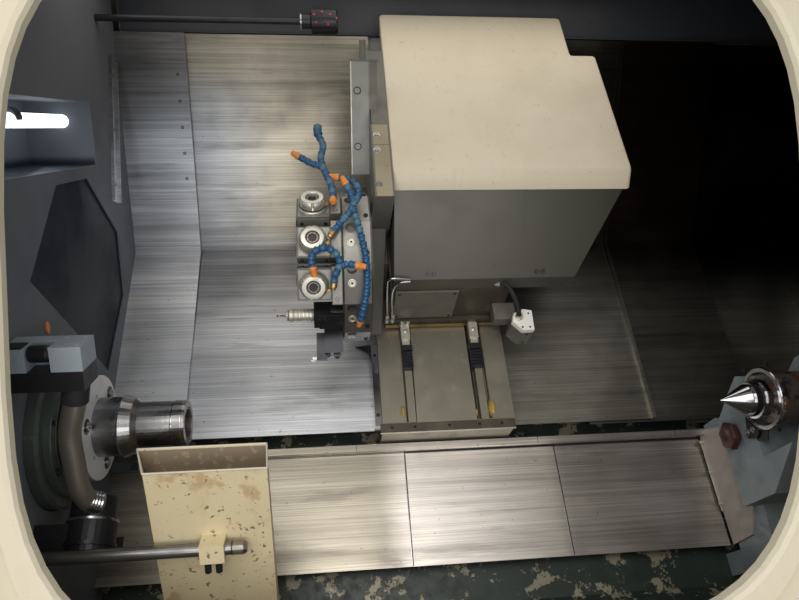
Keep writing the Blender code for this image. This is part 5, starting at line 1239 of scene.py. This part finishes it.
def setter_arm():
    """The bent pipe arm on its pivot cap, the measuring head at its end and the rim round its base."""
    arm = Piece("setter_arm_trim", "setter", "warm_steel", "black", "pale_nut", "tail_cast", "polished",
                "rubber")
    cap = SETTER @ BACKWARD
    arm.use("black")
    arm.lathe(cap, [(0.0023, 0), (0.0023, 0.0425), (0.0045, 0.0438), (0.042, 0.0438), (0.047, 0.042),
                    (0.0496, 0.037), (0.0498, 0)], 48)
    for degrees in (40, 130, 220, 310):
        cap_screw(arm, at(around(cap, degrees), 0.045, 0.031, 0), 0.0042, 0.0045)
    arm.use("warm_steel")
    path = smooth_path(SETTER_ROUTE, 0.008)
    arm.pipe(SPINDLE, path, 0.0203, 24)
    arm.use("polished")
    crimp = [(0.002, 0), (0.002, 0.0216)]
    for index in range(4):
        crimp += [(0.006 + 0.006 * index, 0.0232), (0.009 + 0.006 * index, 0.0214)]
    arm.lathe(at(SPINDLE, *path[0]) @ turned_to(path[2] - path[0]), crimp + [(0.03, 0.0225), (0.03, 0)], 28)
    arm.use("rubber")
    low, high = Vector((0.0205, -0.1662, 0.13)), Vector((0.03, -0.1662, 0.178))
    arm.lathe(at(SPINDLE, *low) @ turned_to(high - low),
              [(0, 0), (0, 0.0225), (0.002, 0.0238), (0.04, 0.0238), (0.046, 0.0225), (0.046, 0)], 28)
    arm.use("black")
    left = -0.0797
    arm.block(SPINDLE, (left, 0.054), (-0.2, -0.13), (0.164, 0.201))
    arm.use("tail_cast")
    arm.block(SPINDLE, (0.001, 0.055), (-0.2, -0.13), (0.201, 0.2465))
    arm.block(SPINDLE, (left, 0.0012), (-0.16, -0.13), (0.201, 0.2465))
    arm.block(SPINDLE, (left, -0.04), (-0.2, -0.16), (0.201, 0.244))
    arm.use("black")
    arm.block(SPINDLE, (-0.0745, -0.045), (-0.196, -0.165), (0.244, 0.2462))
    axle = at(SPINDLE, 0, -0.182, 0.23)
    arm.lathe(axle, [(-0.038, 0), (-0.038, 0.014), (-0.036, 0.0155), (-0.007, 0.0155), (-0.0055, 0.014),
                     (-0.0055, 0)], 28)
    arm.use("polished")
    arm.lathe(axle, solid_round(-0.006, 0.0012, 0.0135), 28)
    arm.use("pale_nut")
    for x in (0.012, 0.044):
        for y in (-0.188, -0.142):
            flat_screw(arm, at(SPINDLE, x, y, 0.2465) @ UPWARD, 0.0038, 0.0005)
    made = arm.finished(bevel=0.001)
    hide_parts("setter_arm")
    rim = Piece("setter_rim", "machine", "polished", "black")
    rim.lathe(cap, [(-0.003, 0.0478), (-0.003, 0.049), (0.0022, 0.049), (0.0022, 0.045), (0.0016, 0.045),
                    (-0.003, 0.0478)], 64)
    rim.use("black")
    rim.lathe(cap, hollow_round(-0.05, -0.042, 0.0478, 0.051), 48)
    rim.finished(bevel=0.0003)


# Parts catcher


def chute_trim():
    """The rolled lip round the chute's mouth, its lining of dirt and painted shade, its spots, the screws and
    the bar's rings.
    """
    trim = Piece("chute_trim", "catcher", "chute_lip", "chute_lining", "black", "warm_steel")
    corners = [(0.1514, -0.005, 0.1645), (0.3699, -0.005, 0.1645), (0.3632, 0.068, 0.176),
               (0.1244, 0.068, 0.176)]
    path = [Vector(corners[-1]).lerp(Vector(corners[0]), 0.5)]
    for index, corner in enumerate(corners):
        corner = Vector(corner)
        before, after = Vector(corners[index - 1]), Vector(corners[(index + 1) % 4])
        path.append(corner + (before - corner).normalized() * 0.004)
        path.append(corner)
        path.append(corner + (after - corner).normalized() * 0.004)
    path.append(path[0])
    trim.pipe(CATCHER, path, 0.002, 10)
    # the lining on the back wall's inner side, brown with dirt and painted shade
    trim.use("chute_lining")
    back = [(0.129, 0.063, 0.1745), (0.3605, 0.063, 0.1745), (0.364, 0.0675, 0.05), (0.144, 0.0675, 0.05)]
    front = [(x, y - 0.0012, z) for x, y, z in back]
    trim.rings(CATCHER, [back, front])
    trim.use("black")
    for x in (0.2525, 0.2725):
        screw = at(CATCHER, x, -0.008, -0.019) @ DOWNWARD
        trim.lathe(screw, [(-0.002, 0), (-0.002, 0.0042), (0.01, 0.0042), (0.01, 0.0064), (0.024, 0.0064),
                           (0.025, 0.0056), (0.025, 0.0034), (0.016, 0.003), (0.016, 0)], 18)
    for _ in range(14):
        x, z = random.uniform(0.17, 0.35), random.uniform(-0.12, 0.12)
        share = (0.1645 - z) / 0.3525
        spot = at(CATCHER, x, -0.005 + 0.056 * share, z) @ turned_to((0, -1, -0.16))
        size = random.uniform(0.0006, 0.0014)
        trim.lathe(spot, [(-0.0006, 0), (-0.0006, size), (0.0003, size * 0.6), (0.0003, 0)], 8)
    trim.use("warm_steel")
    trim.lathe(CATCHER, hollow_round(0.3005, 0.318, 0.012, 0.01285), 28)
    trim.use("black")
    trim.lathe(CATCHER, hollow_round(0.2965, 0.299, 0.012, 0.0129), 28)
    trim.finished(bevel=0.0002)


setter_arm()
chute_trim()


# Upper left wall, lamp niche and receiver


def screw_row(piece, start, end, count, direction, radius=0.0048, height=0.0012):
    """Flat screws evenly along a line."""
    start, end = Vector(start), Vector(end)
    for index in range(count):
        spot = start.lerp(end, index / (count - 1))
        flat_screw(piece, at(SPINDLE, *spot) @ turned_to(direction), radius, height)


def channel(piece, place, x, start, end, width, lip):
    """A shallow U of sheet on a wall: a web with two lips, along a line in the wall's plane."""
    start, end = Vector(start), Vector(end)
    way = (end - start).normalized()
    side = Vector((-way.y, way.x))
    edge = 0.0022 / width
    for low, high, top in ((-0.5, 0.5, 0.0015), (-0.5, -0.5 + edge, lip), (0.5 - edge, 0.5, lip)):
        outline = [start + side * width * low, end + side * width * low,
                   end + side * width * high, start + side * width * high]
        piece.prism_x(place, [tuple(point) for point in outline], (x, x + top))


def wall_trim():
    """Plug, channel, screws, lamp holders and the plates on and beside the splash wall."""
    trim = Piece("wall_trim", "machine", "side_sheet", "steel_screw", "rubber", "polished", "orange",
                 "dark_wall")
    face = -0.085
    channel(trim, SPINDLE, face, (0.62, 0.797), (0.5215, 0.42), 0.05, 0.009)
    trim.use("steel_screw")
    for share in (0.12, 0.5, 0.88):
        y, z = 0.62 + (0.5215 - 0.62) * share, 0.797 + (0.42 - 0.797) * share
        flat_screw(trim, at(SPINDLE, face + 0.0015, y, z), 0.006, 0.0016)
    screw_row(trim, (0.079, 0.6578, 0.76), (0.0815, 0.6578, 0.471), 5, (0, -1, 0), 0.0048, 0.0003)
    trim.use("orange")
    plug = at(SPINDLE, face, 0.009, 0.221)
    sections = []
    for x, grow in ((-0.001, 1.0), (0.002, 1.0), (0.0032, 0.86), (0.0032, 0.4)):
        sections.append([(x, 0.0085 * grow * math.cos(math.pi * side / 12),
                          0.013 * grow * math.sin(math.pi * side / 12)) for side in range(24)])
    trim.rings(plug, sections)
    trim.use("dark_wall")
    trim.block(SPINDLE, (-0.175, -0.145), (0.461, 0.49), (0.62, 0.68))
    for y, z, direction in ((0.455, 0.656, (0, -1, -0.067)), (0.142, 0.635, (0, 1, 0.067))):
        trim.lathe(at(SPINDLE, -0.16, y, z) @ turned_to(direction),
                   [(-0.012, 0), (-0.012, 0.0215), (0.016, 0.0215), (0.018, 0.0195), (0.018, 0)], 28)
    trim.use("polished")
    trim.block(SLOPE, (-0.082, -0.012), (0.0, 0.04), (-0.359, -0.335))
    trim.use("rubber")
    trim.prism_z(SLOPE, rectangle((-0.0662, -0.0327), (-0.1563, -0.1934)),
                 (-0.36, -0.3585))
    trim.finished(bevel=0.0006)


def receiver_trim():
    """Ribs, a bright collar and the red lights of the signal receiver on its rod."""
    trim = Piece("receiver_trim", "machine", "black", "machined", "red")
    depth, height, radius = 0.52, 0.8844, 0.033
    axis = at(SPINDLE, 0, depth, height)
    for index in range(5):
        x = 0.46 + 0.0068 * index
        trim.lathe(axis, hollow_round(x, x + 0.0034, 0.03, 0.0335), 36)
    trim.use("machined")
    trim.lathe(axis, hollow_round(0.43, 0.434, 0.015, 0.0205), 32)
    trim.use("red")
    for x, z in ((0.4666, 0.8975), (0.4872, 0.905), (0.5075, 0.8982), (0.4711, 0.8784), (0.5018, 0.8742),
                 (0.524, 0.8891)):
        rise = z - height
        back = math.sqrt(radius ** 2 - rise ** 2)
        trim.lathe(at(SPINDLE, x, depth - back, z) @ turned_to((0, -back, rise)),
                   [(-0.002, 0), (-0.002, 0.003), (0.0008, 0.0028), (0.0014, 0.0016), (0.0015, 0)], 12)
    trim.finished(bevel=0.0002)


wall_trim()
receiver_trim()


# Tailstock


def tail_trim():
    """Clamp knob, hanging plate, dark slot, bright ring and screws of the tailstock's front."""
    trim = Piece("tail_trim", "tailstock", "knob", "black", "polished", "machined")
    front = 1.5
    spots = ((0.114, -0.128), (0.046, -0.078), (0.031, -0.144), (0.079, -0.169))
    centre_y = sum(y for y, z in spots) / 4
    centre_z = sum(z for y, z in spots) / 4
    knob = at(SPINDLE, front, centre_y, centre_z) @ LEFTWARD
    trim.lathe(knob, [(-0.002, 0), (-0.002, 0.02), (0.006, 0.022), (0.01, 0.033), (0.014, 0.036),
                      (0.024, 0.036), (0.028, 0.033), (0.03, 0.02), (0.027, 0.012), (0.027, 0)], 6, 0.3)
    trim.use("black")
    plate = [(0.04, -0.066), (0.006, -0.074), (-0.018, -0.078), (-0.012, -0.098), (0.019, -0.112)]
    trim.prism_x(SPINDLE, plate, (front - 0.006, front - 0.003))
    trim.prism_x(SPINDLE, [(-0.044, -0.086), (-0.04, -0.062), (-0.004, -0.08), (-0.008, -0.104)],
                 (front - 0.0014, front + 0.0006))
    trim.use("machined")
    cap_screw(trim, at(SPINDLE, front - 0.006, 0.022, -0.099) @ LEFTWARD, 0.0055, 0.0045, 0.001)
    cap_screw(trim, at(SPINDLE, front - 0.006, 0.006, -0.083) @ LEFTWARD, 0.0045, 0.004, 0.001)
    trim.use("polished")
    trim.lathe(SPINDLE, [(1.4975, 0.0632), (1.4975, 0.072), (1.5005, 0.074), (1.5005, 0.0632),
                         (1.4975, 0.0632)], 64)
    trim.use("black")
    for degrees in range(30, 360, 60):
        cap_screw(trim, at(around(SPINDLE, degrees), front, 0.086, 0) @ LEFTWARD, 0.0055, 0.0045)
    trim.finished(bevel=0.001)


def scraper_trim():
    """A bright strip with three screws along the scraper plate."""
    trim = Piece("scraper_trim", "tailstock", "pale_nut")
    face = 1.5335
    outline = rectangle((0.002, -0.185), (-0.356, -0.35))
    trim.prism_x(SLOPE, outline, (face - 0.0065, face + 0.0005))
    for u in (0.005, -0.08, -0.165):
        cap_screw(trim, at(SLOPE, face - 0.0035, u, -0.3501) @ UPWARD, 0.005, 0.0035, 0.0012)
    trim.finished(bevel=0.0005)


def centre_trim():
    """The dark ring of the live centre."""
    trim = Piece("centre_trim", "centre_point", "black")
    trim.lathe(SPINDLE, hollow_round(1.463, 1.473, 0.0385, 0.0412), 48)
    trim.finished(bevel=0.0003)


tail_trim()
scraper_trim()
centre_trim()


# Front covers and bed


def front_trim():
    """The laps between the three lower plates, bright strips along their edges and the ridge's joints."""
    trim = Piece("front_trim", "machine", "black", "polished")
    for index, x in enumerate((0.68, 1.1)):
        face = -0.36 - 0.003 * index
        trim.use("black")
        trim.prism_z(SLOPE, rectangle((x + 0.0002, x + 0.003), (-0.269, 0.021)),
                     (face - 0.0035, face - 0.0026))
        trim.use("polished")
        trim.prism_z(SLOPE, rectangle((x - 0.0016, x), (-0.2695, 0.0215)),
                     (face - 0.003, face + 0.00005))
    trim.use("polished")
    trim.block(SLOPE, (-0.083, 1.53), (0.0219, 0.0225), (-0.362, -0.346))
    trim.block(SLOPE, (-0.083, 1.9), (0.039, 0.0401), (-0.35, -0.3349))
    trim.use("black")
    trim.block(SLOPE, (-0.083, 1.53), (0.019, 0.0216), (-0.361, -0.35995))
    for x in (0.55, 1.05, 1.45):
        trim.block(SLOPE, (x - 0.0008, x + 0.0008), (0.0222, 0.04), (-0.336, -0.33495))
    trim.use("polished")
    for x, n in (((-0.083, 0.679), (-0.366, -0.36005)), ((0.68, 1.099), (-0.369, -0.36305)),
                 ((1.1, 1.529), (-0.372, -0.36605))):
        trim.block(SLOPE, x, (-0.2706, -0.2695), n)
    trim.finished(bevel=0.0003)


front_trim()


# Outside: door, operator panel, casing and conveyor


def frame_strip(piece, place, x, z, width, span):
    """A rectangular frame of strips that stands on a face that looks along minus Y."""
    for low, high, bottom, top in ((x[0], x[1], z[0], z[0] + width), (x[0], x[1], z[1] - width, z[1]),
                                   (x[0], x[0] + width, z[0] + width, z[1] - width),
                                   (x[1] - width, x[1], z[0] + width, z[1] - width)):
        piece.block(place, (low, high), span, (bottom, top))


def door_trim():
    """Gasket and screws round the window, the handle's feet, guide shoes and the closing edge."""
    trim = Piece("door_trim", "door", "rubber", "machined", "black", "cream")
    face = -0.068
    frame_strip(trim, FRONT, (-1.148, -0.252), (0.082, 0.798), 0.0185, (face - 0.003, face + 0.0005))
    trim.use("machined")
    for index in range(8):
        for z in (0.0915, 0.7885):
            flat_screw(trim, at(FRONT, -1.12 + 0.12 * index, face - 0.003, z) @ FORWARD, 0.0045, 0.0012)
    for index in range(5):
        for x in (-1.1385, -0.2615):
            flat_screw(trim, at(FRONT, x, face - 0.003, 0.17 + 0.135 * index) @ FORWARD, 0.0045, 0.0012)
    for z in (0.25, 0.6):
        trim.lathe(at(FRONT, -0.12, face, z) @ FORWARD,
                   [(-0.001, 0), (-0.001, 0.027), (0.005, 0.027), (0.007, 0.025), (0.007, 0.012),
                    (0.007, 0)], 28)
    trim.use("black")
    trim.block(FRONT, (-0.033, -0.0255), (face - 0.0022, face + 0.0005), (-0.24, 1.03))
    for x in (-1.3, -0.09):
        trim.block(FRONT, (x - 0.05, x + 0.05), (face - 0.008, face + 0.0005), (-0.254, -0.23))
        trim.block(FRONT, (x - 0.05, x + 0.05), (face - 0.008, face + 0.0005), (1.018, 1.042))
    trim.use("cream")
    frame_strip(trim, FRONT, (-1.35, -0.04), (-0.215, 1.0), 0.006, (face - 0.0016, face + 0.0005))
    trim.finished(bevel=0.0008)


def panel_trim():
    """Screen with its rim, rows of plain keys, three dials and the stop button's collar."""
    trim = Piece("panel_trim", "operator_panel", "black", "screen", "pale_nut", "key_grey", "key_dark",
                 "collar")
    face = -0.07
    frame_strip(trim, PANEL, (-0.478, -0.112), (0.132, 0.418), 0.01, (face - 0.0025, face + 0.0005))
    trim.use("screen")
    trim.block(PANEL, (-0.47, -0.12), (-0.0655, -0.0635), (0.14, 0.41))
    for row in range(5):
        for column in range(9):
            x = -0.47 + 0.029 * column
            z = 0.085 - 0.03 * row
            trim.use("key_dark" if (row + column) % 4 == 0 else "key_grey")
            trim.block(PANEL, (x, x + 0.022), (face - 0.003, face + 0.0005), (z, z + 0.021))
    trim.use("key_grey")
    for index in range(8):
        x = -0.466 + 0.043 * index
        trim.block(PANEL, (x, x + 0.026), (face - 0.0024, face + 0.0005), (0.114, 0.126))
    for x, z, radius in ((-0.165, 0.06, 0.027), (-0.165, -0.02, 0.02), (-0.26, -0.14, 0.033)):
        dial = at(PANEL, x, face, z) @ FORWARD
        trim.use("pale_nut")
        trim.lathe(dial, solid_round(-0.001, 0.002, radius), 32)
        trim.use("black")
        trim.lathe(dial, [(0.002, 0), (0.002, radius * 0.75), (0.014, radius * 0.68), (0.015, radius * 0.6),
                          (0.015, 0)], 24)
        trim.use("pale_nut")
        trim.block(dial, (0.0148, 0.0154), (radius * 0.1, radius * 0.55), (-0.0012, 0.0012))
    trim.use("collar")
    trim.lathe(at(PANEL, -0.11, face, -0.13) @ FORWARD,
               [(-0.001, 0.0), (-0.001, 0.03), (0.0012, 0.03), (0.0018, 0.029), (0.0018, 0.0)], 36)
    trim.finished(bevel=0.0008)


def louvres(piece, place, x, z, count, pitch, face):
    """A stack of slanted lips on a face that looks along minus Y."""
    for index in range(count):
        low = z + pitch * index
        piece.prism_x(place, [(face + 0.001, low), (face - 0.007, low), (face - 0.007, low + 0.0016),
                              (face + 0.001, low + pitch * 0.62)], x)


def casing_details():
    """Service doors with handles and vents in the lower front and the right side."""
    trim = Piece("casing_details", "machine", "black", "cream", "machined", "rubber")
    face = -0.6777
    for left, right in ((-1.98, -1.12), (0.72, 1.42)):
        trim.use("black")
        frame_strip(trim, WORLD, (left, right), (0.15, 0.64), 0.003, (face - 0.0006, face + 0.0005))
        trim.use("cream")
        trim.block(WORLD, (left + 0.004, right - 0.004), (face - 0.003, face + 0.0005), (0.154, 0.636))
        trim.use("machined")
        trim.block(WORLD, (right - 0.06, right - 0.03), (face - 0.011, face - 0.0025), (0.37, 0.45))
        trim.use("black")
        trim.block(WORLD, (right - 0.052, right - 0.038), (face - 0.0125, face - 0.01), (0.38, 0.44))
        trim.use("rubber")
        for z in (0.21, 0.58):
            trim.block(WORLD, (left + 0.006, left + 0.03), (face - 0.009, face - 0.0025),
                       (z - 0.03, z + 0.03))
    trim.use("cream")
    louvres(trim, WORLD, (-1.8, -1.5), 0.23, 9, 0.02, face - 0.003)
    louvres(trim, WORLD, (0.9, 1.12), 0.23, 9, 0.02, face - 0.003)
    side = at(WORLD, 1.51, 0, 0) @ Matrix.Rotation(math.radians(90), 4, "Z")
    trim.use("black")
    frame_strip(trim, side, (-0.25, 0.75), (0.3, 1.9), 0.003, (-0.0006, 0.0005))
    trim.use("cream")
    trim.block(side, (-0.246, 0.746), (-0.004, 0.0005), (0.304, 1.896))
    louvres(trim, side, (0.05, 0.45), 1.5, 12, 0.022, -0.004)
    trim.use("rubber")
    for z in (0.45, 1.1, 1.75):
        trim.block(side, (0.718, 0.744), (-0.011, -0.0035), (z - 0.04, z + 0.04))
    trim.use("machined")
    trim.block(side, (-0.225, -0.19), (-0.014, -0.0035), (1.0, 1.12))
    trim.use("black")
    trim.block(side, (-0.217, -0.198), (-0.016, -0.013), (1.015, 1.105))
    trim.use("machined")
    for index in range(7):
        x = -1.98 + 0.56 * index
        flat_screw(trim, at(WORLD, x, face, 0.09) @ FORWARD, 0.007, 0.002)
    trim.finished(bevel=0.0008)


def conveyor_details():
    """The gear motor of the chip conveyor's raised end, with its ribs, fan cover and terminal box."""
    trim = Piece("conveyor_details", "machine", "black", "blue_paint")
    motor = at(WORLD, 1.985, -0.567, 0.66) @ FORWARD
    trim.use("blue_paint")
    trim.lathe(motor, [(-0.002, 0), (-0.002, 0.055), (0.03, 0.055), (0.034, 0.048), (0.04, 0.048),
                       (0.04, 0)], 32)
    for index in range(9):
        x = 0.042 + 0.011 * index
        trim.lathe(motor, solid_round(x, x + 0.005, 0.046), 28)
    trim.lathe(motor, solid_round(0.038, 0.145, 0.04), 28)
    trim.use("black")
    trim.lathe(motor, [(0.145, 0), (0.145, 0.044), (0.165, 0.042), (0.17, 0.036), (0.17, 0)], 28)
    trim.block(motor, (0.06, 0.115), (-0.022, 0.022), (0.04, 0.066))
    trim.finished(bevel=0.001)


door_trim()
panel_trim()
casing_details()
conveyor_details()
